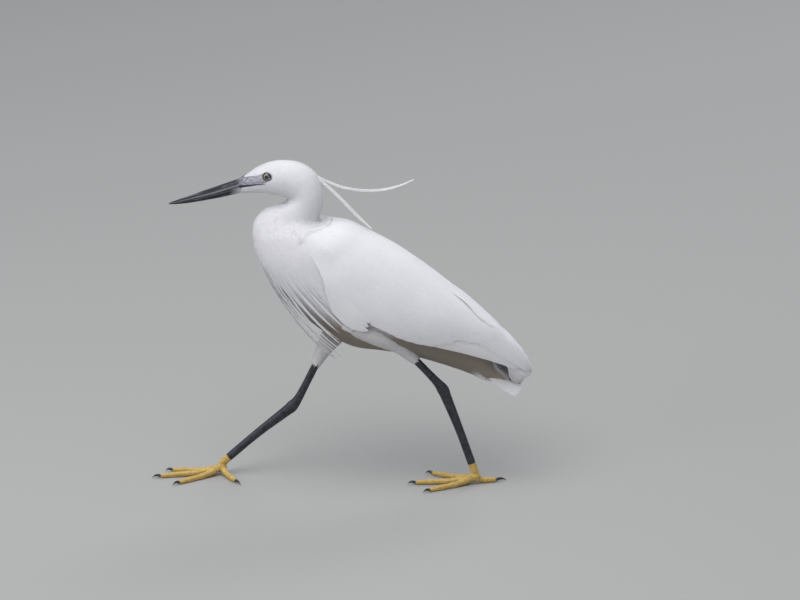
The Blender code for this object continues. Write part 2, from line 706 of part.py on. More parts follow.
def make_tail():
    chance = random.Random(5)
    rings = []
    for along, width, height in TAIL_ROOT:
        turns = [2 * math.pi * i / 12 for i in range(12)]
        rings.append([tail_frame(along, width * math.sin(a), height * math.cos(a)) for a in turns])
    tail = loft("tail", rings, "white_feather")
    boolean(tail, "UNION", [tail_feather(number, chance) for number in range(TAIL_FEATHERS)])


# Each leg from inside the body down to the joint of the toes, and how far each toe reaches from there: the
# feathered thigh, the bare shin, the ankle and the long shank. The right leg is forward, the left trails.
LEGS = {
    "right": {
        "x": (22.0, -8.0, -24.0, -32.0, -43.5, -52.0, -58.5, -66.0, -97.5, -136.5),
        "y": (15.0, 14.0, 14.0, 14.0, 14.0, 14.0, 14.0, 14.0, 14.0, 14.0),
        "z": (196.0, 165.0, 143.0, 127.6, 104.0, 87.5, 79.0, 72.5, 47.0, 12.5),
        "toes": {
            "inner": (-52.0, -38.0), "middle": (-75.5, -14.0), "outer": (-62.0, 8.0), "hind": (22.0, -38.0),
        },
    },
    "left": {
        "x": (2.0, 38.0, 60.5, 77.8, 89.0, 99.5, 106.0, 109.8, 124.0, 141.5),
        "y": (-13.5, -13.5, -12.5, -12.0, -12.2, -12.4, -12.6, -12.8, -14.0, -16.0),
        "z": (190.0, 171.0, 157.0, 139.4, 127.5, 116.0, 107.5, 98.5, 62.0, 12.5),
        "toes": {
            "inner": (-54.0, 31.0), "middle": (-74.0, -4.0), "outer": (-57.0, -31.0), "hind": (34.0, 8.0),
        },
    },
}
THIGH_END, TOE_JOINT = 3, 9  # points of a leg
THIGH_RADII = ((14.0, 11.0), (15.0, 12.0), (10.5, 8.5), (5.6, 5.0))
LEG_RADII = (
    (4.1, 3.5), (4.1, 3.5), (4.1, 3.5), (4.1, 3.5), (4.1, 3.4), (4.8, 3.9), (6.4, 4.8), (5.8, 4.5),
    (4.6, 3.6), (4.4, 3.7),
)
SHIN_END = 5.15
YELLOW_TOP = 8.78
PAD_DROP = 4.6  # the pad's middle below the joint
PAD_SIZE = (6.2, 5.2, 6.0)
TOE_RADII = (3.8, 3.5, 3.2, 2.9, 2.6)
TOE_SHARES = (0.0, 0.22, 0.45, 0.75, 1.0)  # of the toe's length
TOE_START = -4.0  # from the joint's height
TOE_HEIGHTS = (5.2, 3.1, 2.8, 2.5)
CLAW_LENGTHS = {"inner": 9.0, "middle": 9.5, "outer": 8.5, "hind": 12.0}
CLAW_SHARES = (0.0, 0.35, 0.7, 1.0)
CLAW_RISES = (0.0, 0.5, 0.3, -1.3)
CLAW_RADII = ((1.9, 1.35), (1.6, 1.1), (1.05, 0.75), (0.25, 0.25))
CLAW_FLOOR = 0.4


def leg_path(name):
    leg = LEGS[name]
    return list(zip(leg["x"], leg["y"], leg["z"]))


def make_leg(name, side):
    path = leg_path(name)
    thigh = leg_piece("thigh_" + name, path, THIGH_RADII, 0, THIGH_END - 0.012, 9, "white_feather", 14)
    torso_cutter = trunk_piece("torso_cutter", TORSO, SECTION["shoulder"], SECTION["under_tail"], 24, GAP)
    wing_cutter = wing_core("wing_cutter", side, SECTION["tertial"], 22, margin=0.45, feathers=3.0)
    boolean(thigh, "DIFFERENCE", [torso_cutter])
    boolean(thigh, "DIFFERENCE", [wing_cutter])
    leg_piece("shin_" + name, path, LEG_RADII, THIGH_END + 0.012, SHIN_END - 0.012, 6, "leg_black")
    leg_piece("shank_" + name, path, LEG_RADII, SHIN_END + 0.012, YELLOW_TOP - 0.004, 12, "leg_black")
    make_foot(name, path)


def toe_path(joint, reach, length):
    """From inside the joint, down to the ground, and along it."""
    direction = np.array([*reach, 0.0]) / np.linalg.norm(reach)
    heights = (joint[2] + TOE_START, *TOE_HEIGHTS)
    foot = np.array([joint[0], joint[1], 0.0])
    return [foot + direction * length * share + np.array([0, 0, z]) for share, z in zip(TOE_SHARES, heights)]


def make_foot(name, path):
    joint = np.array(path[TOE_JOINT])
    foot = leg_piece("foot_" + name, path, LEG_RADII, YELLOW_TOP + 0.004, TOE_JOINT, 4, "foot_yellow")
    pieces = [ball("pad", joint - (0, 0, PAD_DROP), 1, PAD_SIZE, "foot_yellow", 10, 8)]
    radii = [(radius, radius) for radius in TOE_RADII]
    for toe, reach in LEGS[name]["toes"].items():
        length = float(np.hypot(*reach)) - CLAW_LENGTHS[toe]
        line = toe_path(joint, reach, length)
        rings = limb_rings(line, radii, 0, len(line) - 1, 8, 8, floor=0.0)
        pieces.append(loft("toe", rings, "foot_yellow"))
        make_claw(f"claw_{name}_{toe}", line, CLAW_LENGTHS[toe])
    boolean(foot, "UNION", pieces)
    level_sole(foot)


def level_sole(foot):
    """Puts whatever reaches below the ground on it."""
    for vertex in foot.data.vertices:
        vertex.co.z = max(vertex.co.z, 0.0)


def make_claw(name, line, length):
    """A hooked claw, face to face with the end of its toe."""
    direction = line[-1] - line[-2]
    direction /= np.linalg.norm(direction)
    start = line[-1] + direction * GAP
    path = []
    for share, rise in zip(CLAW_SHARES, CLAW_RISES):
        path.append(start + direction * length * share + np.array([0, 0, rise]))
    loft(name, limb_rings(path, CLAW_RADII, 0, 3, 5, 6, floor=CLAW_FLOOR), "claw_black")


def stand_on_origin():
    """Moves the model so that its box stands centred on the origin."""
    solids = [o for o in bpy.context.scene.objects if o.type == "MESH"]
    corners = np.array([vertex.co for o in solids for vertex in o.data.vertices])
    low, high = corners.min(axis=0), corners.max(axis=0)
    root = bpy.data.objects.new("egret", None)
    bpy.context.scene.collection.objects.link(root)
    root.location = (-(low[0] + high[0]) / 2, -(low[1] + high[1]) / 2, -low[2])
    for piece in solids:
        piece.parent = root


def main():
    for old in list(bpy.data.objects):
        bpy.data.objects.remove(old)
    make_head()
    make_eyes()
    make_bill()
    make_crest()
    trunk_piece("neck_upper", TORSO, HEAD_END + CUT, NECK_BEND - CUT, 9)
    trunk_piece("neck_lower", TORSO, NECK_BEND + CUT, BREAST_START - CUT, 8)
    make_breast()
    trunk_piece("torso", TORSO, TORSO_START + CUT, TORSO_END, TORSO_STEPS)
    make_wings()
    make_mantle()
    make_tail()
    for name, side in SIDES.items():
        make_leg(name, side)
    stand_on_origin()


main()
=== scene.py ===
import math

import bmesh
import bpy
import numpy as np
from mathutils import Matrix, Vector


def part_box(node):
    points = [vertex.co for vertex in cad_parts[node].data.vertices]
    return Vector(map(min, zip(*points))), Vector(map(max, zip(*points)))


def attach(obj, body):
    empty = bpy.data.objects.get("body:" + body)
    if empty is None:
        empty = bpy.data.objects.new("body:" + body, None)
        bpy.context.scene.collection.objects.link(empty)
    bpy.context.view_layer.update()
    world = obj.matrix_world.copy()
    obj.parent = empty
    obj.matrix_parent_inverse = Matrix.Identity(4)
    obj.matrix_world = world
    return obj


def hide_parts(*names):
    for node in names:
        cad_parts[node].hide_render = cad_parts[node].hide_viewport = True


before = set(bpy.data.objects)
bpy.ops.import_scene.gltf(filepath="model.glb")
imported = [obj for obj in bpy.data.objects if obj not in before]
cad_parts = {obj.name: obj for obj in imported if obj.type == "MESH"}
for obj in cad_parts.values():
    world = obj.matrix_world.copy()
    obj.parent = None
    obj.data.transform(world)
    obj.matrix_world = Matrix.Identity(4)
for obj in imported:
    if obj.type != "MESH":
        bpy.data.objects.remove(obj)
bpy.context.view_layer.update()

# The room: a pale matt floor, a camera at the photograph's height and side, and soft light from wide lamps
# overhead, as under a bright overcast sky. Sizes in this script are in millimetres until in_model places them.
MM = 0.001
EYE_CENTRE = np.array((-83, 0, 347.8))
# The drawing is shifted so that its eyes lie where the solid eyes lie.
eye_corners = [corner for side in ("left", "right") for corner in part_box("eye_" + side)]
SHIFT = np.array(sum(eye_corners, Vector())) / len(eye_corners) - EYE_CENTRE * MM


def in_model(points):
    """Points in millimetres, in the frame that the bird was drawn in, as metres in the model's frame."""
    return np.asarray(points, float) * MM + SHIFT


def new_material(name, colour, roughness, **values):
    made = bpy.data.materials.new(name)
    made.use_nodes = True
    shader = made.node_tree.nodes["Principled BSDF"].inputs
    shader["Base Color"].default_value = (*colour, 1)
    shader["Roughness"].default_value = roughness
    for socket, value in values.items():
        shader[socket.replace("_", " ")].default_value = value
    return made


def feed(tree, socket, value):
    """Links or sets a socket, unless the value is None."""
    if isinstance(value, bpy.types.NodeSocket):
        tree.links.new(value, socket)
    elif value is not None:
        socket.default_value = (*value, 1) if socket.type == "RGBA" and len(value) == 3 else value


def node(tree, kind, inputs=None, **settings):
    """A new shader node; inputs are values, or sockets that feed it."""
    made = tree.nodes.new(kind if kind.startswith("NodeGroup") else "ShaderNode" + kind)
    for name, value in settings.items():
        setattr(made, name, value)
    for name, value in (inputs or {}).items():
        feed(tree, made.inputs[name], value)
    return made


def add_object(name, data):
    made = bpy.data.objects.new(name, data)
    bpy.context.scene.collection.objects.link(made)
    return made


def place_in(tree):
    """Each point's own place, in metres."""
    return node(tree, "TexCoord").outputs["Object"]


def noise(tree, scale, detail, where=None):
    where = where or place_in(tree)
    return node(tree, "TexNoise", {"Vector": where, "Scale": scale, "Detail": detail}).outputs["Fac"]


def ramp(tree, factor, *stops):
    """A colour ramp over factor, with its stops as (place, colour)."""
    made = node(tree, "ValToRGB", {"Fac": factor})
    elements = made.color_ramp.elements
    while len(elements) < len(stops):
        elements.new(0.5)
    for element, (place, colour) in zip(elements, stops):
        element.position = place
        element.color = (*colour, 1) if isinstance(colour, tuple) else (colour, colour, colour, 1)
    return made.outputs["Color"]


def paint(material, colour=None, roughness=None, height=None, depth=0.1):
    """Feeds the shader: colour, roughness, and a bump whose full height is depth millimetres."""
    tree = material.node_tree
    shader = tree.nodes["Principled BSDF"].inputs
    feed(tree, shader["Base Color"], colour)
    feed(tree, shader["Roughness"], roughness)
    if height is not None:
        bump = node(tree, "Bump", {"Height": height, "Distance": depth * MM, "Strength": 1})
        feed(tree, shader["Normal"], bump.outputs["Normal"])


FLOOR_HALF = 9
bm = bmesh.new()
bmesh.ops.create_grid(bm, x_segments=1, y_segments=1, size=FLOOR_HALF)
floor_mesh = bpy.data.meshes.new("floor")
bm.to_mesh(floor_mesh)
bm.free()
floor = add_object("floor", floor_mesh)
floor_finish = new_material("floor_matt", (0.4, 0.4, 0.39), 0.9)
tree = floor_finish.node_tree
grain = noise(tree, 400, 4)
paint(floor_finish, ramp(tree, grain, (0.3, (0.395, 0.397, 0.385)), (0.7, (0.415, 0.417, 0.405))))
floor_mesh.materials.append(floor_finish)

CAMERA_AIM = (59.4, 0, 205.5)
CAMERA_DISTANCE = 5
CAMERA_RISE = math.radians(18)
camera = add_object("camera", bpy.data.cameras.new("camera"))
bpy.context.scene.camera = camera
camera.data.lens = 208
camera.data.sensor_width = 36
camera.data.clip_end = 60
toward = Vector((0, -math.cos(CAMERA_RISE), math.sin(CAMERA_RISE)))
camera.location = Vector(in_model(CAMERA_AIM)) + toward * CAMERA_DISTANCE
camera.rotation_euler = (-toward).to_track_quat("-Z", "Y").to_euler()

LAMPS = {  # place, size and power of each wide lamp, all aimed at the bird
    "sky_lamp": ((-0.6, -1.1, 3), 3.2, 74, (1, 0.99, 0.98)),
    "side_lamp": ((-2.6, -1.6, 1.4), 1.6, 17, (0.97, 0.98, 1)),
    "back_lamp": ((1.6, 2.4, 2.2), 1.6, 22, (1, 1, 1)),
}
for name, (place, size, power, colour) in LAMPS.items():
    lamp = add_object(name, bpy.data.lights.new(name, "AREA"))
    lamp.data.shape = "DISK"
    lamp.data.size = size
    lamp.data.energy = power
    lamp.data.color = colour
    lamp.location = place
    lamp.rotation_euler = (Vector((0, 0, 0.2)) - lamp.location).to_track_quat("-Z", "Y").to_euler()
sky = bpy.data.worlds.new("sky")
sky.use_nodes = True
background = sky.node_tree.nodes["Background"].inputs
background["Color"].default_value = (0.8, 0.84, 0.92, 1)
background["Strength"].default_value = 0.47
bpy.context.scene.world = sky
bpy.context.scene.view_settings.view_transform = "Standard"


# The body under the feathers: skin over the skull, the S of the neck, the breast and the belly, with both thighs,
# all one closed piece that lies inside the bird's outline by the coat's depth. The sections run from the bill to
# the rump: back line x and z, belly line x and z, half width, and how high up the section it is widest.
TRUNK = np.array([
    (-110.2, 343.5, -112.3, 326.5, 6, 0.52), (-100.4, 350.8, -102.6, 326.7, 8.6, 0.5),
    (-90.7, 357, -92.9, 327.1, 11.6, 0.5), (-77.8, 361.6, -82.1, 325.9, 14.2, 0.5),
    (-62.6, 362.7, -72.4, 324.2, 16.2, 0.5), (-47.8, 360.2, -64.8, 321.9, 17.2, 0.5),
    (-35.2, 352.8, -61, 320.2, 17.5, 0.5), (-26.5, 341.5, -60.3, 318.9, 17.5, 0.5),
    (-22.4, 327.8, -62.1, 317.1, 17.5, 0.5), (-22.9, 314.7, -68, 314, 18, 0.5),
    (-25.6, 304.6, -78.4, 311.8, 19, 0.52), (-28.1, 297.6, -88, 306.8, 20.5, 0.55),
    (-26.3, 295.4, -95.4, 299, 23, 0.6), (-22.7, 296, -99.2, 289, 26, 0.62),
    (-16.2, 296.2, -99.6, 275.6, 30, 0.62), (-5.4, 293.6, -96.2, 258.2, 34, 0.62),
    (7.6, 288.8, -88.2, 240.4, 38, 0.61), (22.7, 280.8, -76, 221.2, 40, 0.6),
    (41, 271.2, -59.4, 202.4, 42, 0.6), (59.4, 260.2, -39.6, 183.6, 42.8, 0.6),
    (82.1, 244.2, -16.6, 166.2, 42.6, 0.6), (104.2, 227.1, 9, 153.8, 40.8, 0.6),
    (121.3, 212.6, 38.8, 149.6, 37.5, 0.6), (137.8, 198.6, 66.8, 144.6, 32.5, 0.6),
    (153.6, 185.2, 94.6, 136.4, 26, 0.6),
])
TAIL_COVERTS = np.array([
    (164, 167, 118.2, 128.4, 19, 0.58), (163.8, 147.5, 137.6, 120.6, 12, 0.55),
    (165.4, 133.4, 152, 113.3, 8.5, 0.5), (176.5, 121.5, 166.5, 112.5, 6.5, 0.5),
])
BODY = np.vstack([TRUNK, TAIL_COVERTS])
TAIL_ROOT = 27


def spline(rows, t):
    """The smooth curve through the rows, at row numbers t."""
    rows = np.asarray(rows, float)
    if rows.ndim == 1:
        return spline(rows[:, None], t)[..., 0]
    rows = np.vstack([2 * rows[0] - rows[1], rows, 2 * rows[-1] - rows[-2]])
    t = np.asarray(t, float)
    cell = np.clip(np.floor(t).astype(int), 0, len(rows) - 4)
    u = (t - cell)[..., None]
    before, a, b, after = (rows[cell + step] for step in range(4))
    return a + 0.5 * u * (b - before + u * (2 * before - 5 * a + 4 * b - after + u * (3 * (a - b) + after - before)))


def ease(value, start, end):
    """0 before start, 1 after end, smooth between."""
    u = np.clip((np.asarray(value, float) - start) / (end - start), 0, 1)
    return u * u * (3 - 2 * u)


def unit(vectors):
    return vectors / np.maximum(np.linalg.norm(vectors, axis=-1, keepdims=True), 1e-9)


TURN = 2 * math.pi


def bare_point(rows, t, turn):
    """Points of the outline: t counts sections, turn is 0 at the back, positive to the bird's right, pi below."""
    t, turn = np.broadcast_arrays(np.asarray(t, float), np.asarray(turn, float))
    back_x, back_z, belly_x, belly_z, width, level = np.moveaxis(spline(rows, t), -1, 0)
    height = (1 + np.cos(turn)) / 2 + (level - 0.5) * np.sin(turn) ** 2
    x = belly_x + (back_x - belly_x) * height
    return np.stack([x, width * np.sin(turn), belly_z + (back_z - belly_z) * height], -1)


CREASE = (-52, 288)  # x and z of the little fold where the neck meets the shoulder
CREASE_SLANT, CREASE_SIZE, CREASE_DEPTH = math.radians(48), (5, 2.4), 2.6


def in_crease(points):
    """1 in the middle of the fold, 0 away from it."""
    off_x, off_z = points[..., 0] - CREASE[0], points[..., 2] - CREASE[1]
    along = (off_x * math.cos(CREASE_SLANT) + off_z * math.sin(CREASE_SLANT)) / CREASE_SIZE[0]
    across = (off_z * math.cos(CREASE_SLANT) - off_x * math.sin(CREASE_SLANT)) / CREASE_SIZE[1]
    return np.exp(-along ** 2 - across ** 2)


def body(t, turn):
    """The outline, with the fold at the foot of the neck pressed in on each side."""
    here = bare_point(BODY, t, turn)
    here[..., 1] -= np.sign(here[..., 1]) * CREASE_DEPTH * in_crease(here)
    return here


def slopes(ground, t, turn):
    """How a surface runs at each point: millimetres to a section, and millimetres to a radian, as vectors."""
    step = 0.01
    along = (ground(t + step, turn) - ground(t - step, turn)) / (2 * step)
    around = (ground(t, turn + step) - ground(t, turn - step)) / (2 * step)
    return along, around


def outward(ground, t, turn):
    along, around = slopes(ground, t, turn)
    return unit(np.cross(along, around))


def lifted(ground, t, turn, lift):
    """Points that stand lift millimetres outside a surface."""
    return ground(t, turn) + outward(ground, t, turn) * np.asarray(lift, float)[..., None]


def coat_depth(t):
    """How thick the feathers lie: thin on the face, deeper on the neck and deepest on the belly."""
    return np.interp(t, (0, 2, 5, 9, 14, 20), (0.4, 0.5, 0.7, 0.9, 1.1, 1.8))


def cover(bm, place, rows, columns, closed=True, marks=None):
    """A grid of faces whose corners go to place(u, v), with u and v from 0 to 1, and take marks(u, v) as their place
    in a pattern of scales. closed joins its sides."""
    layer = marks and (bm.verts.layers.float_vector.get("scales") or bm.verts.layers.float_vector.new("scales"))
    made = bmesh.ops.create_grid(bm, x_segments=rows, y_segments=columns, size=1)["verts"]
    u, v = ((np.array([vertex.co[:2] for vertex in made]) + 1) / 2).T
    for vertex, point in zip(made, place(u, v)):
        vertex.co = point
    if marks:
        for vertex, mark in zip(made, marks(u, v)):
            vertex[layer] = mark
    if closed:
        bmesh.ops.remove_doubles(bm, verts=made, dist=1e-3)
        edges = {edge for vertex in made if vertex.is_valid for edge in vertex.link_edges}
        bmesh.ops.holes_fill(bm, edges=[edge for edge in edges if edge.is_boundary], sides=0)


def stored(bm, mesh):
    bm.to_mesh(mesh)
    bm.free()
    mesh.shade_smooth()


def finished(bm, name, material, sharp=None):
    """The shape, in millimetres, as a smooth object in its place in the model."""
    bmesh.ops.recalc_face_normals(bm, faces=bm.faces)
    for vertex in bm.verts:
        vertex.co = in_model(vertex.co)
    mesh = bpy.data.meshes.new(name)
    stored(bm, mesh)
    mesh.materials.append(material)
    if sharp:
        mesh.set_sharp_from_angle(angle=math.radians(sharp))
    return add_object(name, mesh)


def merged(piece, voxel, rounds):
    """Makes one smooth skin of a piece's overlapping shapes, and gives it back open for more work."""
    remesh = piece.modifiers.new("one_piece", "REMESH")
    remesh.mode = "VOXEL"
    remesh.voxel_size = voxel * MM
    piece.data = bpy.data.meshes.new_from_object(piece.evaluated_get(bpy.context.evaluated_depsgraph_get()))
    piece.modifiers.clear()
    bm = bmesh.new()
    bm.from_mesh(piece.data)
    for _ in range(rounds):
        bmesh.ops.smooth_vert(bm, verts=bm.verts, factor=0.5, use_axis_x=True, use_axis_y=True, use_axis_z=True)
    return bm


THIGH_LINES = {  # the feathered thighs lie close along the belly's sides
    "right": np.array([(22, 22, 196), (-8, 20, 166), (-24, 15.5, 143.5), (-32, 14, 127.6)]),
    "left": np.array([(0, -24, 192), (36, -25, 175.5), (59.5, -18, 158.5), (77.8, -12, 139.4)]),
}
THIGH_RADII = np.array([(14, 10), (13.5, 11), (8.6, 7.6), (5, 4.5)])
THIGH_END, THIGH_DEPTH = 2.7, 1.4


def limb_point(path, radii, t, turn, lift=0):
    """Points round a limb: t counts its joints, turn is 0 at its front."""
    t, turn, lift = np.broadcast_arrays(*(np.asarray(a, float) for a in (t, turn, lift)))
    ahead = unit(spline(path, t + 0.02) - spline(path, t - 0.02))
    side = unit(np.array([0, 1, 0]) - ahead[..., 1:2] * ahead)
    fore = np.cross(side, ahead)
    reach = spline(radii, t)
    return (spline(path, t) + side * ((reach[..., 1] + lift) * np.sin(turn))[..., None]
            + fore * ((reach[..., 0] + lift) * np.cos(turn))[..., None])


SKIN_VOXEL = 1.8
bm = bmesh.new()
cover(bm, lambda u, v: lifted(body, u * TAIL_ROOT, v * TURN, -coat_depth(u * TAIL_ROOT)), 90, 48)
for path in THIGH_LINES.values():
    cover(bm, lambda u, v: limb_point(path, THIGH_RADII, u * THIGH_END, v * TURN, -THIGH_DEPTH), 16, 24)
skin_finish = new_material("white_down", (0.74, 0.735, 0.74), 0.85)
skin = finished(bm, "skin", skin_finish)
stored(merged(skin, SKIN_VOXEL, 3), skin.data)
tree = skin_finish.node_tree
fluff = noise(tree, 900, 3)
paint(skin_finish, ramp(tree, fluff, (0.3, (0.7, 0.69, 0.7)), (0.7, (0.8, 0.8, 0.81))),
      height=fluff, depth=0.4)
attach(skin, "root")
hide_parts("head", "neck_upper", "neck_lower", "breast", "torso", "thigh_left", "thigh_right")


# The bill: two long horn sheaths, black with grey streaks, slightly open to the light along the line of the mouth.
# A groove runs forward from each nostril slit. Stations from the tip back: x, top, mouth, underside, half width.
BILL = np.array([
    (-189, 314.9, 314.4, 313.9, 0.5), (-184, 317.1, 315.4, 313.8, 1.5), (-172.8, 321.2, 318, 314.6, 2.4),
    (-160, 326, 321.2, 316.4, 3), (-146, 331, 324.7, 319, 3.6), (-132, 335.9, 328.9, 321.7, 4.3),
    (-120, 340.2, 332.9, 324.5, 5), (-111.6, 343.2, 335.6, 326.6, 5.6), (-106, 344.2, 336.6, 327.6, 5.6),
])
NOSTRIL_X, NOSTRIL_HALF, GROOVE_TURN = -117, 4.2, 38
MOUTH_GAP = 0.12  # from the line of the mouth to the edge of each sheath


def bill_half(upper):
    """Points of one half of the bill: u from the tip back, v round it."""
    sign = 1 if upper else -1

    def place(u, v):
        t = u * (len(BILL) - 1)
        x, top, mouth, under, width = np.moveaxis(spline(BILL, t), -1, 0)
        turn = v * TURN
        height = np.maximum((top - mouth if upper else mouth - under) - MOUTH_GAP, 0.3)
        out = np.abs(np.cos(turn)) ** 0.9 * np.sign(np.cos(turn))
        up = np.where(np.sin(turn) > 0, np.abs(np.sin(turn)) ** 0.92, -0.06)
        off_groove = np.abs(np.degrees(np.arcsin(np.clip(np.sin(turn), -1, 1))) - GROOVE_TURN)
        groove = np.exp(-(off_groove / 11) ** 2) * ease(x, -168, -135) * 0.13
        slit = np.exp(-(off_groove / 7) ** 2) * np.exp(-((x - NOSTRIL_X) / NOSTRIL_HALF) ** 4) * 0.22
        inward = 1 - np.where(upper & (np.sin(turn) > 0), groove + slit, 0)
        y = width * out * inward * (1 if upper else 0.95)
        z = mouth + sign * (MOUTH_GAP + height * up * inward)
        return np.stack([x + 0.1 * u * (z - mouth), y, z], -1)

    return place


def blended(tree, share, first, second):
    """A mix of two colours, each a socket or three numbers."""
    made = node(tree, "Mix", data_type="RGBA")
    plugs = [socket for socket in made.inputs if socket.enabled]
    for plug, value in zip(plugs, (share, first, second)):
        feed(tree, plug, value)
    return next(socket for socket in made.outputs if socket.enabled)


def marks_of(tree, name="scales", output="Vector"):
    """What a piece's own attribute says at each point."""
    return node(tree, "Attribute", attribute_name=name).outputs[output]


def parts_of(tree, where):
    return node(tree, "SeparateXYZ", {"Vector": where}).outputs


def ranged(tree, value, low, high, to_low=0, to_high=1):
    """Value from low to high, spread over another range and clamped to it."""
    return node(tree, "MapRange", {"Value": value, "From Min": low, "From Max": high, "To Min": to_low,
                                   "To Max": to_high}).outputs["Result"]


def horn_finish(name, base_colour, forward, back, pale_edge, nostril):
    """Black horn with pale streaks along it, a pale cutting edge, another colour at its base, and a nostril."""
    made = new_material(name, (0.02, 0.021, 0.026), 0.4, Coat_Weight=0.1, Coat_Roughness=0.3, Specular_IOR_Level=0.35)
    tree = made.node_tree
    marks = marks_of(tree)
    stretch = node(tree, "Mapping", {"Vector": marks, "Scale": (1.5, 1.5, 0.055)})
    streak = noise(tree, 1, 5, stretch.outputs["Vector"])
    parts = parts_of(tree, marks)
    toward_base = ranged(tree, parts["Z"], forward, back)
    dark = ramp(tree, streak, (0.46, (0.009, 0.01, 0.014)), (0.56, (0.03, 0.032, 0.042)), (0.68, (0.2, 0.205, 0.245)))
    edge = ramp(tree, parts["X"], (0.03, 0), (0.1, pale_edge), (0.24, pale_edge), (0.36, 0))
    edged = blended(tree, edge, dark, (0.25, 0.25, 0.29))
    grooved = blended(tree, ramp(tree, streak, (0.4, 0.35), (0.62, 1)), (0.07, 0.07, 0.09), base_colour)
    whole = blended(tree, toward_base, edged, grooved)
    # The nostril is painted as a near-black slit: painted shade of its opening.
    if nostril:
        squeezed = node(tree, "VectorMath", {0: marks, 1: (9, 0, 0.3)}, operation="MULTIPLY")
        off = node(tree, "VectorMath", {0: squeezed.outputs["Vector"], 1: (9 * nostril[0], 0, 0.3 * nostril[1])},
                   operation="DISTANCE").outputs["Value"]
        whole = blended(tree, ramp(tree, off, (0.55, 1), (0.95, 0)), whole, (0.006, 0.006, 0.008))
    paint(made, whole, ramp(tree, streak, (0.3, 0.34), (0.7, 0.5)), streak, 0.08)
    return made


def bill_marks(u, v):
    """How far up the sheath (0 to 1), round it, and the millimetres along the bill."""
    turn = TURN * v
    return np.stack([np.sin(turn), 0.6 * np.cos(turn), spline(BILL, u * (len(BILL) - 1))[..., 0]], -1)


def surface(name, material, place, rows, columns, marks=None, sharp=None):
    """A closed piece made of one grid."""
    bm = bmesh.new()
    cover(bm, place, rows, columns, marks=marks)
    return finished(bm, name, material, sharp)


for name, upper, base_colour, forward, pale_edge, nostril in (
        ("bill_upper", True, (0.26, 0.26, 0.32), -118, 0.85, (0.45, -116.5)),
        ("bill_lower", False, (0.64, 0.6, 0.68), -123, 0.25, None)):
    horn = horn_finish(name + "_horn", base_colour, forward, -108, pale_edge, nostril)
    sheath = surface(name + "_horn", horn, bill_half(upper), 96, 40, bill_marks, 55)
    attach(sheath, "root")
    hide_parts(name)


# The bare face: the lores, thin lilac-grey skin between bill and eye with a yellowish spot before the eye, and the
# dark line of the gape, which runs on from the mouth to below the eye. All of it is stretched over the skull.
LORE_START, LORE_LENGTH, LORE_THICK, GAPE_LENGTH = -113, 33, 0.9, 28.5
GAPE_LINE = ((-114.6, 334.9), (-106.5, 336.3), (-98, 338), (-92.5, 339.2), (-89, 339.5))
LORE_TOP = ((-113.5, 343.2), (-105, 345.6), (-97, 347.4), (-91.4, 349.3), (-86.6, 351.6), (-82.5, 350), (-80, 346.8))
LORE_LOW = ((-114.6, 334.9), (-106.5, 336.3), (-98, 338), (-92.5, 339.2), (-88, 340.2), (-84, 343), (-80, 345.9))


def height_on(line, x):
    return np.interp(x, [point[0] for point in line], [point[1] for point in line])


def on_side(x, z, side):
    """Section and turn of the outline's point at x and z, on the bird's right (1) or left (-1)."""
    x, z = np.broadcast_arrays(np.asarray(x, float), np.asarray(z, float))
    t, turn = np.interp(x, (-111, -77, -68), (0.1, 3.2, 4)), np.full(x.shape, math.pi / 2)
    for _ in range(25):
        here = body(t, turn)
        along, around = slopes(body, t, turn)
        off_x, off_z = x - here[..., 0], z - here[..., 2]
        area = along[..., 0] * around[..., 2] - around[..., 0] * along[..., 2]
        area = np.where(np.abs(area) < 1, -1, area)
        t = t + np.clip((off_x * around[..., 2] - around[..., 0] * off_z) / area, -0.4, 0.4)
        turn = np.clip(turn + np.clip((along[..., 0] * off_z - off_x * along[..., 2]) / area, -0.3, 0.3), 0.05, 3.09)
    return t, side * turn


def face_point(x, z, side, lift):
    t, turn = on_side(x, z, side)
    return lifted(body, t, turn, lift)


lore_finish = new_material("lore_skin", (0.36, 0.35, 0.41), 0.55)
tree = lore_finish.node_tree
where = place_in(tree)
spot = in_model((-87.6, 0, 349))
off_spot = node(tree, "Mapping", {"Vector": where, "Location": (-spot[0], 0, -spot[2])}).outputs["Vector"]
flat = node(tree, "VectorMath", {0: off_spot, 1: (260, 0, 520)}, operation="MULTIPLY").outputs["Vector"]
spread_out = node(tree, "VectorMath", {0: flat}, operation="LENGTH").outputs["Value"]
pores = node(tree, "TexVoronoi", {"Vector": where, "Scale": 1500})
along_face = node(tree, "Mapping", {"Vector": where, "Rotation": (0, 0.22, 0), "Scale": (90, 600, 620)})
mottle = noise(tree, 1, 3, along_face.outputs["Vector"])
place_x = parts_of(tree, where)["X"]
bill_x, eye_x = (float(in_model((x, 0, 0))[0]) for x in (-113, -92))
toward_eye = ranged(tree, place_x, bill_x, eye_x)
near_bill = ramp(tree, mottle, (0.4, (0.1, 0.1, 0.13)), (0.62, (0.36, 0.36, 0.44)))
near_eye = ramp(tree, mottle, (0.36, (0.27, 0.265, 0.33)), (0.62, (0.5, 0.49, 0.56)))
grey = blended(tree, toward_eye, near_bill, near_eye)
paint(lore_finish, blended(tree, ramp(tree, spread_out, (0.3, 0.75), (1, 0)), grey, (0.46, 0.37, 0.22)),
      height=pores.outputs["Distance"], depth=0.12)
SIDES = (("left", -1), ("right", 1))
gape_finish = new_material("gape_line", (0.016, 0.016, 0.02), 0.5)
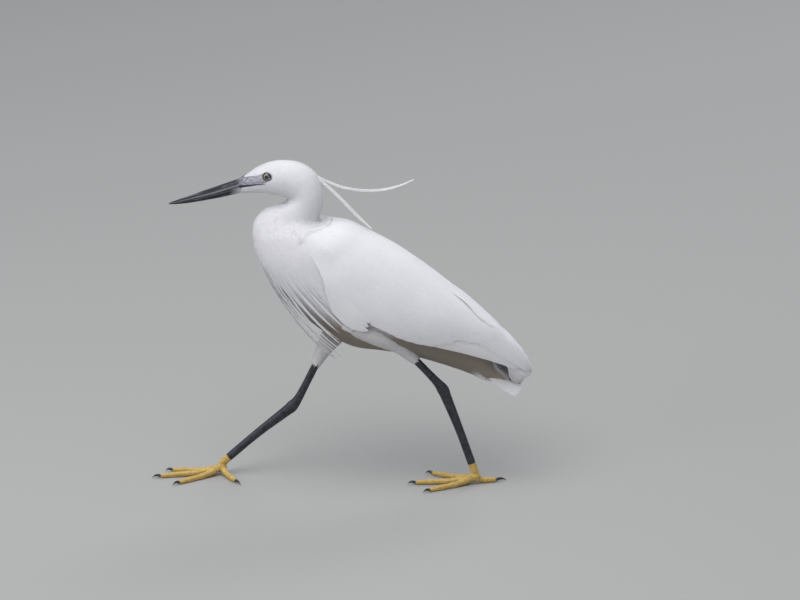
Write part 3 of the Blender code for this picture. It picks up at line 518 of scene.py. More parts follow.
for name, side in SIDES:
    bm = bmesh.new()

    def lore_place(u, v):
        x = LORE_START + u * LORE_LENGTH
        low, high = height_on(LORE_LOW, x) - 0.2, height_on(LORE_TOP, x) + 0.2
        return face_point(x, low + (high - low) * v, side, 0.15 * np.sin(math.pi * v) * np.sin(math.pi * u))

    cover(bm, lore_place, 40, 16, closed=False)
    bmesh.ops.solidify(bm, geom=bm.faces, thickness=-side * LORE_THICK)
    lores = finished(bm, "lores_" + name, lore_finish, sharp=60)
    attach(lores, "root")

    def gape_place(u, v):
        x = LORE_START + u * GAPE_LENGTH
        thick = 1.3 * (1 - u) ** 1.1 + 0.15
        turn = v * TURN
        return face_point(x, height_on(GAPE_LINE, x) + thick * np.cos(turn), side, 0.1 + 0.28 * thick * np.sin(turn))

    gape = surface("gape_" + name, gape_finish, gape_place, 40, 10)
    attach(gape, "root")

# The eyes: wet round balls set in the cheeks, with a greyish yellow iris and a round black pupil. A narrow ring
# of dark skin holds each one.
EYE_R, RIM_R = 5.2, 4.2
PUPIL, IRIS = 0.235, 0.47  # how far out they reach, as shares of a right angle from the eye's axis
eye_finish = new_material("wet_eye", (0.3, 0.3, 0.15), 0.12, Coat_Weight=1, Coat_Roughness=0.02)
tree = eye_finish.node_tree
ring = marks_of(tree, "ring", "Fac")
fleck = noise(tree, 1400, 2)
gold = ramp(tree, fleck, (0.35, (0.15, 0.145, 0.09)), (0.65, (0.31, 0.295, 0.2)))
rings = ramp(tree, ring, (PUPIL - 0.01, 0), (PUPIL + 0.015, 0.75), (IRIS - 0.12, 1), (IRIS, 0))
paint(eye_finish, blended(tree, rings, (0.006, 0.006, 0.007), gold))
lid_finish = new_material("eye_rim", (0.065, 0.064, 0.072), 0.45)
for name, side in SIDES:
    corner_low, corner_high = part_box("eye_" + name)
    centre = (np.array(corner_low + corner_high) / 2 - SHIFT) / MM
    bm = bmesh.new()
    bmesh.ops.create_uvsphere(bm, u_segments=40, v_segments=36, radius=EYE_R)
    ball = finished(bm, "eyeball_" + name, eye_finish)
    across = np.array([vertex.co for vertex in ball.data.vertices])
    across = unit((across - SHIFT) / MM)  # the sphere's own poles point up, and are turned to the side
    turned = np.stack([across[:, 0], side * across[:, 2], across[:, 1]], -1)
    for vertex, place in zip(ball.data.vertices, in_model(centre + turned * EYE_R)):
        vertex.co = place
    if side > 0:
        ball.data.flip_normals()
    axis = unit(np.array([-0.1, side * 1, 0.02]))
    angles = np.arccos(np.clip(turned @ axis, -1, 1)) / (math.pi / 2)
    ball.data.attributes.new("ring", "FLOAT", "POINT").data.foreach_set("value", angles.astype(np.float32))
    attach(ball, "root")
    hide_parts("eye_" + name)

    def lid_place(u, v):
        turn, around = u * TURN, v * TURN
        reach = RIM_R + (0.6 + 0.25 * np.maximum(np.sin(turn), 0)) * np.cos(around)
        x = EYE_CENTRE[0] + reach * 1.05 * np.cos(turn)
        return face_point(x, EYE_CENTRE[2] + 0.92 * reach * np.sin(turn), side, -0.1 + 0.75 * np.sin(around))

    rim = surface("eye_rim_" + name, lid_finish, lid_place, 40, 10)
    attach(rim, "root")


# The coat of the head: short narrow feathers, close as fur, that lie back from the bill over the crown and cheeks
# and leave the lores and the eye bare. Each is a thin closed blade with its root in the skin.
FORMS = {  # along: where the cross-sections lie; widths there; corners of a section as (across, up)
    "blade": ((0, 0.5), (0.75, 1), ((-1, 0), (0, 1), (1, 0))),
    "leaf": ((0, 0.4, 0.75), (0.55, 1, 0.72), ((-1, 0), (0, 1), (1, 0))),
    "strand": ((0, 0.12, 0.25, 0.38, 0.5, 0.62, 0.74, 0.86, 0.95), (0.5, 0.9, 1, 1, 1, 0.95, 0.85, 0.65, 0.4),
               ((-1, 0), (0, 1), (1, 0), (0, -0.8))),
    "vane": ((0, 0.3, 0.55, 0.74, 0.86, 0.94, 0.985), (0.55, 0.85, 1, 0.98, 0.86, 0.62, 0.3),
             ((-1, 0), (-0.5, 0.8), (0, 1), (0.5, 0.8), (1, 0), (0.5, -0.4), (0, -0.3), (-0.5, -0.4))),
}
TUFT_PATCH = 0.003  # the size of a feather's patch on the bake map
INNER, AT_TIP = -9, -1  # marks of corners that don't lie on a feather's edge


def feather_batch(form, rings, tips, roots, tone, warm, length, half):
    """Feathers of one form, as corners, loops, face sizes, rims, bake map, barb map and shades. rings are (feather,
    section, corner, xyz) and tips (feather, xyz), in millimetres."""
    along, _, corners = FORMS[form]
    count, sections, around = rings.shape[:3]
    last, each = (sections - 1) * around, sections * around + 1
    far = np.append(np.repeat(along, around), 1)
    wide = np.append(np.tile([corner[0] for corner in corners], sections), 0)
    rim = np.append(np.tile([k if abs(c[0]) == 1 else INNER for k, c in enumerate(corners)], sections), AT_TIP)
    beside = [(k, (k + 1) % around) for k in range(around)]
    faces = [list(range(around))]
    for near in range(0, last, around):
        faces += [[near + k, near + around + k, near + around + j, near + j] for k, j in beside]
    faces += [[last + k, last + around, last + j] for k, j in beside]
    tone, warm, length, half = (np.broadcast_to(values, count)[:, None] for values in (tone, warm, length, half))
    return (
        np.concatenate([rings.reshape(count, -1, 3), tips[:, None]], 1).reshape(-1, 3),
        (np.concatenate(faces)[None] + each * np.arange(count)[:, None]).ravel(),
        np.tile([len(face) for face in faces], count),
        np.tile(rim, count),
        (roots[:, None] + (np.stack([far - 0.5, wide * 0.5], -1) * TUFT_PATCH)[None]).reshape(-1, 2),
        np.stack([length * far, half * wide], -1).reshape(-1, 2),
        np.stack(np.broadcast_arrays(tone, far, warm), -1).reshape(-1, 3),
    )


def feather_piece(name, batches, material):
    """One mesh of many closed feathers, with its bake map, its barb map and its shades."""
    points, loops, sizes, rims, bake, barbs, shades = (list(part) for part in zip(*batches))
    starts = np.cumsum([0] + [len(part) for part in points])
    loops = np.concatenate([part + start for part, start in zip(loops, starts)])
    points, sizes, rims, bake, barbs, shades = map(np.concatenate, (points, sizes, rims, bake, barbs, shades))
    mesh = bpy.data.meshes.new(name)
    mesh.vertices.add(len(points))
    mesh.loops.add(len(loops))
    mesh.polygons.add(len(sizes))
    mesh.vertices.foreach_set("co", in_model(points).astype(np.float32).ravel())
    mesh.loops.foreach_set("vertex_index", loops.astype(np.int32))
    mesh.polygons.foreach_set("loop_start", np.concatenate([[0], np.cumsum(sizes)[:-1]]).astype(np.int32))
    mesh.update(calc_edges=True)
    mesh.shade_smooth()
    ends = np.zeros(len(mesh.edges) * 2, np.int32)
    mesh.edges.foreach_get("vertices", ends)
    one, other = rims[ends.reshape(-1, 2).T]
    sharp = (one > INNER) & (other > INNER) & ((one == other) | (one == AT_TIP) | (other == AT_TIP))
    mesh.attributes.new("sharp_edge", "BOOLEAN", "EDGE").data.foreach_set("value", sharp)
    for layer, values in (("OFBake", bake), ("Barbs", barbs)):
        mesh.uv_layers.new(name=layer).data.foreach_set("uv", values[loops].astype(np.float32).ravel())
    for layer, values in zip(("tone", "far", "warm"), shades.T):
        mesh.attributes.new(layer, "FLOAT", "POINT").data.foreach_set("value", values.astype(np.float32))
    mesh.materials.append(material)
    made = add_object(name, mesh)
    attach(made, "root")
    return made


def lay(rng, form, ground, t, turn, sections, lengths, halves, thick, root, tip, yaw, roots, warm=0,
        vary=(0.15, 0.15), top_tone=1, bare=None):
    """Small feathers that grow at t and turn and lie back along the body. Lengths and half widths go by section and
    vary by a random share, tip is the tips' height and what chance adds to it, yaw is how far they turn aside, and
    none reaches to where bare says so."""
    length, half = (np.interp(t, sections, sizes) * rng.uniform(1 - share, 1 + share, len(t))
                    for sizes, share in zip((lengths, halves), vary))
    tip = tip[0] + tip[1] * rng.random(len(t))
    yaw = rng.normal(0, yaw, len(t))
    here_t, here_turn, line, normals, last = t, turn, [], [], 0
    for stop in (*FORMS[form][0], 1):
        along, around = slopes(ground, here_t, here_turn)
        step = (stop - last) * length
        here_t = here_t + step * np.cos(yaw) / np.maximum(np.linalg.norm(along, axis=-1), 1.5)
        here_turn = here_turn + step * np.sin(yaw) / np.maximum(np.linalg.norm(around, axis=-1), 3)
        last = stop
        normal = outward(ground, here_t, here_turn)
        rise = root + (tip - root) * stop
        line.append(ground(here_t, here_turn) + normal * rise[:, None])
        normals.append(normal)
    rings, tips = rings_on(form, np.stack(line, 1), np.stack(normals, 1), half, half * thick)
    tone = top_tone * rng.random(len(t))
    good = np.ones(len(t), bool) if bare is None else ~(bare(tips, turn) | bare(rings[:, 1, 1], turn))
    parts = (np.broadcast_to(part, len(t))[good] for part in (tone, warm, length, half))
    return feather_batch(form, rings[good], tips[good], roots[good], *parts)


def rings_on(form, line, normals, half, thick):
    """Cross-sections of a form along centre lines: (feather, station, xyz), the last station being the tip."""
    stations, widths, corners = FORMS[form]
    ahead = unit(np.gradient(line, axis=1))
    across = unit(np.cross(normals, ahead))
    up = np.cross(ahead, across)
    half, thick = (np.broadcast_to(size, len(line)) for size in (half, thick))
    rings = np.empty((len(line), len(stations), len(corners), 3))
    for s, width in enumerate(widths):
        for k, (a, b) in enumerate(corners):
            sideways = (a * width * half)[:, None] * across[:, s]
            rings[:, s, k] = line[:, s] + sideways + (b * thick)[:, None] * up[:, s]
    return rings, line[:, -1]


def spread(rng, ground, start, end, gap_along, gap_around, keep):
    """Roots of feathers, scattered evenly over the outline from one section to another where keep(t, turn) says so.
    The gaps between them are functions of the section, in millimetres."""
    grid = np.linspace(-math.pi, math.pi, 241)
    found_t, found_turn = [], []
    t = start
    while t < end:
        here = ground(t, grid)
        arc = np.append(0, np.cumsum(np.linalg.norm(np.diff(here, axis=0), axis=1)))
        pace = np.linalg.norm(slopes(ground, t, grid)[0], axis=-1)
        count = max(int(arc[-1] / gap_around(t)), 6)
        places = (np.arange(count) + rng.random() + rng.uniform(-0.35, 0.35, count)) / count * arc[-1]
        turn = np.interp(places % arc[-1], arc, grid)
        here_pace = np.interp(turn, grid, pace)
        step = gap_along(t) / pace.max()
        chosen = rng.random(count) < here_pace / pace.max()
        at = t + rng.uniform(-0.5, 0.5, count) * step
        chosen &= keep(at, turn)
        found_t.append(at[chosen])
        found_turn.append(turn[chosen])
        t += step
    return np.clip(np.concatenate(found_t), start, end), np.concatenate(found_turn)


def bake_place(t, turn, first, last):
    """Where a root lies on the unwrapped skin, from section first to last."""
    return np.stack([0.02 + 0.96 * (t - first) / (last - first), 0.5 + 0.96 * turn / TURN], -1)


def white_plumage(name, roughness, barbs):
    """The white of the feathers: a little lilac-grey in some, paler to the tip, warmed and darkened below by real
    stain and painted shade.
    """
    made = new_material(name, (0.8, 0.8, 0.8), roughness, Sheen_Weight=0.25, Specular_IOR_Level=0.25)
    tree = made.node_tree
    tint = node(tree, "Group", node_tree=feather_tint)
    height = None
    if barbs:
        place = node(tree, "UVMap", uv_map="Barbs").outputs["UV"]
        height = node(tree, "Group", {"Place": place}, node_tree=barb_relief).outputs["Height"]
    paint(made, tint.outputs["Colour"], height=height, depth=0.16)
    return made


def math_node(tree, operation, first, second=0):
    return node(tree, "Math", {0: first, 1: second}, operation=operation).outputs["Value"]


def new_group(name, takes, gives):
    """A shader group, with the kinds of the sockets that it takes and gives by their names."""
    made = bpy.data.node_groups.new(name, "ShaderNodeTree")
    for way, sockets in (("INPUT", takes), ("OUTPUT", gives)):
        for socket, kind in sockets.items():
            made.interface.new_socket(socket, in_out=way, socket_type="NodeSocket" + kind)
    return made


tree = feather_tint = new_group("feather_tint", {}, {"Colour": "Color"})
tone, far, warm = (marks_of(tree, layer, "Fac") for layer in ("tone", "far", "warm"))
cloud = noise(tree, 28, 2)
white = ramp(tree, tone, (0, (0.83, 0.82, 0.85)), (0.95, (0.885, 0.88, 0.895)), (1, (0.94, 0.94, 0.93)))
shaded = blended(tree, ramp(tree, cloud, (0.35, 0), (0.75, 0.5)), white, (0.78, 0.77, 0.82))
rooted = blended(tree, ramp(tree, far, (0, 0.55), (0.6, 0)), shaded, (0.7, 0.69, 0.72))
# Warm darkening from the feathers' third mark: partly real stain, mostly painted shade under the belly, wings, thighs
# and tail.
stained_and_shaded = blended(tree, warm, rooted, (0.27, 0.225, 0.18))
tree.links.new(stained_and_shaded, node(tree, "NodeGroupOutput").inputs["Colour"])

tree = barb_relief = new_group("barb_relief", {"Place": "Vector"}, {"Height": "Float"})
parts = parts_of(tree, node(tree, "NodeGroupInput").outputs["Place"])
off_shaft = math_node(tree, "ABSOLUTE", parts["Y"])
slant = math_node(tree, "SUBTRACT", parts["X"], math_node(tree, "MULTIPLY", off_shaft, 1.3))
wave = math_node(tree, "SINE", math_node(tree, "MULTIPLY", slant, 2 * math.pi / 0.75))
shaft = ranged(tree, off_shaft, 0.18, 0.42, 0.8, 0)
relief = math_node(tree, "ADD", math_node(tree, "MULTIPLY", wave, 0.07), shaft)
tree.links.new(relief, node(tree, "NodeGroupOutput").inputs["Height"])

coat_finish = white_plumage("soft_plumage", 0.75, barbs=False)
vane_finish = white_plumage("vaned_plumage", 0.62, barbs=True)

HEAD_START, HEAD_END = 0.12, 7.7
LORE_BACK = -81  # x of the last bare skin before the eye
EYE_BARE, EYE_CLEAR = 4.75, 4.4  # how near the eye's middle roots and tips may come
rng = np.random.default_rng(21)


def near_eye(points, turn, reach=EYE_CLEAR):
    off = np.hypot((points[..., 0] - EYE_CENTRE[0]) / 1.05, (points[..., 2] - EYE_CENTRE[2]) / 0.95)
    return (off < reach) & (np.abs(np.sin(turn)) > 0.25)


def head_feathered(t, turn):
    """True where the head is feathered: not on the lores and not in the eye."""
    here = body(t, turn)
    x, z = here[:, 0], here[:, 2]
    over_gape, under_brow = z > height_on(LORE_LOW, x) - 0.2, z < height_on(LORE_TOP, x)
    lore = (np.abs(np.sin(turn)) > 0.25) & (x < LORE_BACK) & over_gape & under_brow
    return ~lore & ~near_eye(here, turn, EYE_BARE)


t, turn = spread(rng, body, HEAD_START, HEAD_END, lambda t: np.interp(t, (0, 8), (0.8, 1.05)),
                 lambda t: np.interp(t, (0, 8), (0.5, 0.66)), head_feathered)
batch = lay(rng, "blade", body, t, turn, (0, 2, 8), (2.6, 3.6, 6.5), (0.36, 0.42, 0.52), 0.22, -coat_depth(t),
            (0.04, 0.06), 0.06, bake_place(t, turn, 0, 8), bare=near_eye)
feather_piece("coat_head", [batch], coat_finish)

# The coat of the neck, breast, belly and flanks: feathers rooted in the skin, which get longer and softer to the
# back, lie loose over the belly and are stained there, with painted shade under the belly and the wings.
WING_END = np.array([
    (168.4, 171.6, 119.4, 129, 20, 0.55), (181.2, 158.6, 141.9, 121.4, 15, 0.55),
    (191.2, 145.2, 162.4, 113.4, 10, 0.55), (198.4, 131.6, 181.6, 107.4, 6.5, 0.55),
    (201.9, 119.6, 196.8, 113.6, 3.5, 0.55),
])
WING = np.vstack([TRUNK, WING_END])
BULGE = 14  # the section at the bulge of the folded neck, where the wing's and the breast's tables begin
WING_TOP = np.radians((64, 46, 36, 30, 26, 23, 21, 19, 17, 14, 11, 8, 7, 6, 6, 6))
WING_EDGE = np.array((0.63, 0.59, 0.54, 0.5, 0.41, 0.32, 0.31, 0.38, 0.35, 0.37, 0.42, 0.46, 0.52, 0.61, 0.73, 0.84))
WING_START = BULGE + 0.25


def wing_ground(t, turn):
    return bare_point(WING, t, turn)


def turn_at(rows, t, height):
    """The turn at which the outline is this high up its section, from 0 at the belly to 1 at the back."""
    level = spline(rows, t)[..., 5] - 0.5
    over = height - 0.5 - level
    return np.arccos(np.clip(2 * over / (0.5 + np.sqrt(np.maximum(0.25 - 4 * level * over, 0))), -1, 1))


def wing_turn(t, share):
    """How far round the body a point of the wing lies: share is 0 at its top edge, 1 at its front or lower edge."""
    top = spline(WING_TOP, t - BULGE)
    return top + share * (turn_at(WING, t, spline(WING_EDGE, t - BULGE)) - top)


def outside_wing(t, turn):
    return (t < WING_START + 0.5) | (np.abs(turn) > wing_turn(t, 0.84)) | (t > 25.6)


def coat(name, start, end, gaps, lengths, halves, seed, keep):
    """A stretch of coat over the trunk, whose gaps, lengths and half widths run from its start to its end."""
    rng = np.random.default_rng(seed)
    t, turn = spread(rng, body, start, end, lambda t: np.interp(t, (start, end), gaps),
                     lambda t: 0.72 * np.interp(t, (start, end), gaps), keep)
    batch = lay(rng, "blade", body, t, turn, (start, end), lengths, halves, 0.17, -coat_depth(t), (0.03, 0.1), 0.05,
                bake_place(t, turn, start, end), painted_shade_and_stain(t, turn))
    feather_piece(name, [batch], coat_finish)


def painted_shade_and_stain(t, turn):
    """How far the white is warmed and darkened: partly real stain, mostly painted shade under the belly, the plumes
    and the wings, and in the neck's fold.
    """
    reach = 0.55 * ease(t, 20.5, 23) + 0.6 * ease(t, 24.5, 26)
    front = 18.4 - 1.4 * ease(np.abs(turn), 2, 2.8)
    under_tail = ease(t, 25.2, 25.9) * ease(np.abs(turn), 2.1, 2.5)
    dull = 0.97 * ease(np.abs(turn), 1.75 - reach, 2.3 - reach) * ease(t, front, front + 2.2)
    # The last term darkens the feathers in the fold at the foot of the neck: painted shade.
    return dull * (1 - under_tail) * (1 - 0.6 * ease(t, 27.5, 27.7)) + 0.5 * in_crease(bare_point(BODY, t, turn)) ** 2


def everywhere(t, turn):
    return np.ones(len(t), bool)


coat("coat_neck", HEAD_END - 0.3, 14.2, (1.05, 1.25), (7, 9.5), (0.52, 0.66), 31, everywhere)
coat("coat_breast", 14.1, 18.6, (1.25, 1.7), (10, 14), (0.66, 0.95), 33, outside_wing)
coat("coat_belly", 18.5, 27.7, (1.65, 1.7), (14, 11), (0.95, 1), 35, outside_wing)

# The thighs: soft short feathers, rooted in the skin like the rest, that run down each leg and end in a ragged cuff
# over the bare shin.
# The thighs' warm tint is partly stain and partly painted shade, with more painted shade near the body where each
# thigh runs in under the belly, most on the right one.
THIGH_TOP_SHADE = {"left": 0.1, "right": 0.62}
for name, path in THIGH_LINES.items():
    rng = np.random.default_rng(41)

    def thigh(t, turn):
        return limb_point(path, THIGH_RADII, t, -turn)

    t, turn = spread(rng, thigh, 0.3, THIGH_END, lambda t: 1.7, lambda t: 1.1, everywhere)
    warm = 0.3 + THIGH_TOP_SHADE[name] * (1 - ease(t, 0.7, 1.7))
    batch = lay(rng, "leaf", thigh, t, turn, (1, 3), (10, 7), (1.2, 0.75), 0.26, -THIGH_DEPTH, (0.1, 0.3), 0.1,
                bake_place(t, turn, 1, 3.1), warm, (0.2, 0.15))
    feather_piece("coat_thigh_" + name, [batch], coat_finish)

# The plumes of the breast: long narrow feathers, each of a few loose strands, that hang from the lower neck over
# the belly and stand off it more and more towards their tips.
PLUME_HANG = np.array((0, 0.8, 1.6, 3.4, 7, 12.5, 18, 23))  # how far the loosest stand off, from the bulge
PLUMES = {  # in layers: how many, sections of the roots and of the tips, turns from the belly line, share of the hang
    "left": (
        (7, (15.3, 17), (20.6, 20.4), (3, 38), 1), (6, (15, 16.8), (19.7, 20.1), (6, 56), 0.5),
        (9, (14.8, 16.6), (17.2, 18.6), (4, 62), 0.2),
    ),
    "right": (
        (7, (15.3, 16.9), (19, 18.3), (3, 38), 1), (6, (15, 16.8), (18.4, 18), (6, 56), 0.5),
        (9, (14.8, 16.6), (17.2, 18.4), (4, 62), 0.2),
    ),
}
STRANDS, STRAND_GAP, PLUME_DEPTH, PLUME_LENGTH = 7, 0.28, 1.5, 90
stations = np.append(FORMS["strand"][0], 1)
for name, side in SIDES:
    rng = np.random.default_rng(51)
    t_lines, turn_lines, lifts, halves = [], [], [], []
    for count, (start_in, start_out), (end_in, end_out), (first, last), hang in PLUMES[name]:
        for number in range(count):
            slot = number / (count - 1)
            start = start_in + slot * (start_out - start_in) + rng.uniform(-0.12, 0.12)
            end = end_in + slot * (end_out - end_in) + rng.uniform(-0.35, 0.1)
            centre_turn = first + slot * (last - first) + rng.uniform(-0.6, 0.6)
            loose = hang * (1 - 0.35 * slot) * rng.uniform(0.9, 1)
            for strand in range(STRANDS):
                aside = (strand - (STRANDS - 1) / 2) * STRAND_GAP
                reach = end - abs(aside) * rng.uniform(0.02, 0.25)
                t = start + rng.uniform(0, 0.25) + stations * (reach - start)
                free = spline(PLUME_HANG, t - BULGE) * loose
                lift = -PLUME_DEPTH + (free + PLUME_DEPTH) * ease(stations, -0.25, 0.45)
                spreading = aside * (1 - 0.55 * stations ** 2) + rng.uniform(-0.15, 0.15)
                wide = np.degrees(spreading / spline(BODY, t)[:, 4])
                t_lines.append(t)
                turn_lines.append(side * np.radians(180 - centre_turn * (1 - 0.12 * stations) + wide))
                lifts.append(lift + rng.uniform(-0.25, 0.25))
                halves.append(rng.uniform(0.26, 0.4))
    t, turn, lift, half = (np.array(a) for a in (t_lines, turn_lines, lifts, halves))
    line = lifted(body, t, turn, lift)
    rings, tips = rings_on("strand", line, outward(body, t, turn), half, half * 0.5)
    batch = feather_batch("strand", rings, tips, bake_place(t[:, 0], turn[:, 0], 14, 18), rng.random(len(t)), 0,
                          PLUME_LENGTH, half)
    feather_piece("breast_plumes_" + name, [batch], coat_finish)

# The folded wings: on each a thin bed of flesh and down, small coverts in close rows over it, then the long
# secondaries and tertials, and under them the primaries. Each feather is a vane held at its root, over the next.
RUMP, WING_TIP = 24, 29
WING_CLEAR, WING_TIP_THICK = 0.9, 1.1
WING_LOW = (  # sections, and how far down the feathers reach there: the notch behind the alula, and the broad tip
    (14, 19.1, 19.8, 20, 20.4, 21.1, 21.6, 26.3, 26.7, 27.5, 28.9),
    (1, 1, 0.96, 0.885, 0.9, 0.975, 1, 1, 1.04, 1.09, 1.05),
)


def wing_outer(t, share):
    """How far the wing's flesh stands off the body: it comes up out of the coat at the shoulder."""
    rise = ease(t, WING_START - 0.2, WING_START + 2.3)
    fall = 1 - ease(t, RUMP, WING_TIP)
    full = 2.4 + 1.3 * np.sin(math.pi * np.clip(share, 0, 1)) ** 0.7
    front = 1 - 0.92 * ease(share, 0.62, 1) * (1 - ease(t, 15.8, 18))
    sunk = 0.5 * (1 - ease(t, WING_START - 0.3, WING_START + 0.9))
    sunk = sunk + 0.35 * ease(share, 0.8, 1) * (1 - ease(t, 16.2, 18))
    return 0.1 - sunk + rise * front * (WING_CLEAR + WING_TIP_THICK + fall * (full - WING_TIP_THICK))


def vanes(place, start, end, middle, half, root, rise, tone, roots, tilt=-0.26, thick=0.2, side=1, swing=0, warm=0):
    """Broad feathers, with corners at place(t, share, lift). swing is how far the middle moves from root to tip."""
    along, widths, corners = FORMS["vane"]
    start, end, middle, half = np.broadcast_arrays(start, end, middle, half)
    count = len(start)
    rings = np.empty((count, len(along), len(corners), 3))
    for s, (far, width) in enumerate(zip(along, widths)):
        for k, (a, b) in enumerate(corners):
            aside = side * a * width
            lift = root + far * (rise - root) + b * thick + aside * tilt
            rings[:, s, k] = place(start + far * (end - start), middle + far * swing + aside * half, lift)
    tips = place(end, middle + swing, rise)
    length = np.linalg.norm(tips - rings[:, 0, 2], axis=-1)
    wide = np.linalg.norm(rings[:, 2, 4] - rings[:, 2, 0], axis=-1) / 2
    return feather_batch("vane", rings, tips, roots, tone, warm, length, wide)


def wing_bake(t, share):
    return np.stack([0.02 + 0.96 * (t - BULGE) / (WING_TIP - BULGE), 0.02 + 0.96 * np.clip(share, 0, 1)], -1)


COVERT_DEPTH, WING_COVERTS_END = 0.45, 26.8
COVERT_SIZES = ((14.3, 17, 22, 28), (8, 10.5, 16, 19), (0.85, 1.15, 1.8, 2), (1.45, 1.8, 2.6, 2.7))


def small_coverts(rng, ground, start, end, keep, roots):
    """Soft narrow feathers over a wing or the back. COVERT_SIZES has sections, lengths, half widths and gaps."""
    sections, lengths, halves, gaps = COVERT_SIZES
    t, turn = spread(rng, ground, start, end, lambda t: np.interp(t, sections, gaps),
                     lambda t: 0.62 * np.interp(t, sections, gaps), keep)
    return lay(rng, "leaf", ground, t, turn, sections, lengths, halves, 0.12, -COVERT_DEPTH, (0.02, 0.08), 0.045,
               roots(t, turn), vary=(0.15, 0.1), top_tone=0.8)


COVERTS_LOW = (  # sections, and the lowest roots of the small coverts there
    (14, 18.4, 19.1, 19.4, 19.8, 20.4, 21, 22.4, 22.8, 23, 24, 25.2, 27.2),
    (0.985, 0.985, 0.93, 0.87, 0.885, 0.95, 0.985, 0.985, 0.9, 0.76, 0.68, 0.76, 0.8),
)
TERTIALS_LOW = ((20, 23.8, 24.8, 25.3, 26, 26.4, 27, 28.9), (0.8, 0.745, 0.69, 0.735, 0.81, 0.83, 0.85, 0.93))
LONG_FEATHERS = {  # how many; sections of upper and lower roots, of tips; shares; half width; heights; swing; tones
    "primaries": (9, (21.5, 20.5), (28.6, 27.4), (0.5, 0.955), 0.05, (-0.9, -0.3), 0, (0.94, 1)),
    # the lowest primaries' low tones are painted shade, for their tips low in the shade over the tail
    "lowest primaries": (8, (26.5, 26.9), (28.85, 28.4), (0.88, 0.99), 0.105, (-1.5, -1.1), 0.98, (0, 0.2)),
    "tertials": (13, (20.5, 20), (28.85, 28.3), (-0.04, 0.94), 0.065, (-0.6, 0.9), 0, (0.3, 0.7)),
    "alula": (3, (17.4, 17.3), (20.2, 20.45), (0.905, 0.962), 0.06, (-0.8, 0.3), 0.065, (0.9, 1)),
}


for name, side in SIDES:
    rng = np.random.default_rng(61)

    def place(t, share, lift):
        return lifted(wing_ground, t, side * wing_turn(t, share), wing_outer(t, share) + lift)

    def bed_place(u, v):
        t = WING_START - 0.2 + u * (WING_TIP - WING_START)
        top = -0.06 * ease(t, 24, 26.5)
        low = np.interp(t, (21.5, 23), (0.92, 0.985)) * np.interp(t, *WING_LOW)
        share = top + (low - top) * np.where(v < 0.5, 2 * v, 2 - 2 * v)
        inner = WING_CLEAR - wing_outer(t, share)
        return place(t, share, np.where(v < 0.5, -1, np.minimum(inner + 0.1, -1.3)))

    bed = surface("wing_bed_" + name, skin_finish, bed_place, 70, 40, sharp=60)
    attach(bed, "root")
    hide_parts("wing_" + name)

    def share_of(turn):
        return 0.5 + side * turn / TURN

    pieces = [small_coverts(rng, lambda t, turn: place(t, share_of(turn), 0), WING_START - 0.3, WING_COVERTS_END,
                            lambda t, turn: share_of(turn) < np.interp(t, *COVERTS_LOW),
                            lambda t, turn: wing_bake(t, share_of(turn)))]
    for kind, (count, starts, ends, (first, last), half, (root, rise), swing, tones) in LONG_FEATHERS.items():
        table = TERTIALS_LOW if kind == "tertials" else WING_LOW

        def at_edge(t, share, lift):
            return place(t, share if kind == "alula" else share * np.interp(t, *table), lift)

        slot = np.arange(count) / (count - 1)
        middle = first + slot * (last - first)
        start = starts[0] + slot * (starts[1] - starts[0])
        end = np.minimum(ends[0] + slot * (ends[1] - ends[0]) + rng.uniform(-0.1, 0.06, count), WING_TIP - 0.08)
        # Only the far-swinging lowest primaries get the warm darkening: painted shade on their tips.
        pieces.append(vanes(at_edge, start, end, middle, half, root, rise, rng.uniform(*tones, count),
                            wing_bake(start, middle), side=side, swing=swing * slot, warm=0.45 * swing ** 2 * slot))
    feather_piece("wing_coverts_" + name, pieces[:1], coat_finish)
    feather_piece("wing_feathers_" + name, pieces[1:], vane_finish)

# The mantle and scapulars: soft feathers along the back, which meet over the spine and lie over the wings' top
# edges to beyond the rump.
MANTLE_START, MANTLE_END, MANTLE_COVERTS_END = 15.15, 25.2, 23.9
SCAPULARS_LOW = ((15, 21.6, 22, 22.8, 23.6, 24.3, 25.6), (0.06, 0.03, 0.04, 0.12, 0.21, 0.25, 0.26))


def mantle_outer(t):
    return -0.4 + 4 * ease(t, MANTLE_START - 1.2, MANTLE_START + 1.35) * (1 - 0.22 * ease(t, 23, 25))


def on_mantle(t, share, lift):
    """share runs from -1 to 1 between the lowest scapulars of the left and the right side."""
    over = (0.1 + 1.8 * ease(t, 21.3, 22.6)) * ease(np.abs(share), 0.5, 0.95)
    reach = wing_turn(t, np.interp(t, *SCAPULARS_LOW))
    return lifted(wing_ground, t, share * reach, mantle_outer(t) + over + lift)


def mantle_bed(u, v):
    t = MANTLE_START - 0.35 + u * (MANTLE_END - MANTLE_START + 0.35)
    share = np.where(v < 0.5, 4 * v - 1, 3 - 4 * v)
    bare = wing_turn(t, 0) / wing_turn(t, np.interp(t, *SCAPULARS_LOW)) - 0.02
    return on_mantle(t, share * bare, np.where(v < 0.5, -0.6, np.minimum(0.3 - mantle_outer(t), -1)))


bed = surface("mantle_bed", skin_finish, mantle_bed, 60, 32, sharp=60)
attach(bed, "root")
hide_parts("mantle")


def on_back(t, turn):
    return on_mantle(t, turn / math.pi, 0)


def back_roots(t, turn):
    return np.stack([0.02 + 0.96 * (t - 14) / 13, 0.5 + 0.48 * turn / math.pi], -1)


rng = np.random.default_rng(71)
batch = small_coverts(rng, on_back, MANTLE_START - 1.2, MANTLE_COVERTS_END, everywhere, back_roots)
feather_piece("mantle_feathers", [batch], coat_finish)

SPINE_FEATHERS = 5  # the innermost tertials of both wings, which close over the spine


def over_spine(t, share, lift):
    return lifted(wing_ground, t, share * 0.45, wing_outer(t, 0) + lift)


slot = np.linspace(-1, 1, SPINE_FEATHERS)
start = np.full(SPINE_FEATHERS, 21.5)
batch = vanes(over_spine, start, 28.5 - 0.35 * np.abs(slot), 0.55 * slot, 0.34, -0.6, 0.75,
              rng.random(SPINE_FEATHERS), back_roots(start, slot), tilt=0)
feather_piece("spine_feathers", [batch], vane_finish)

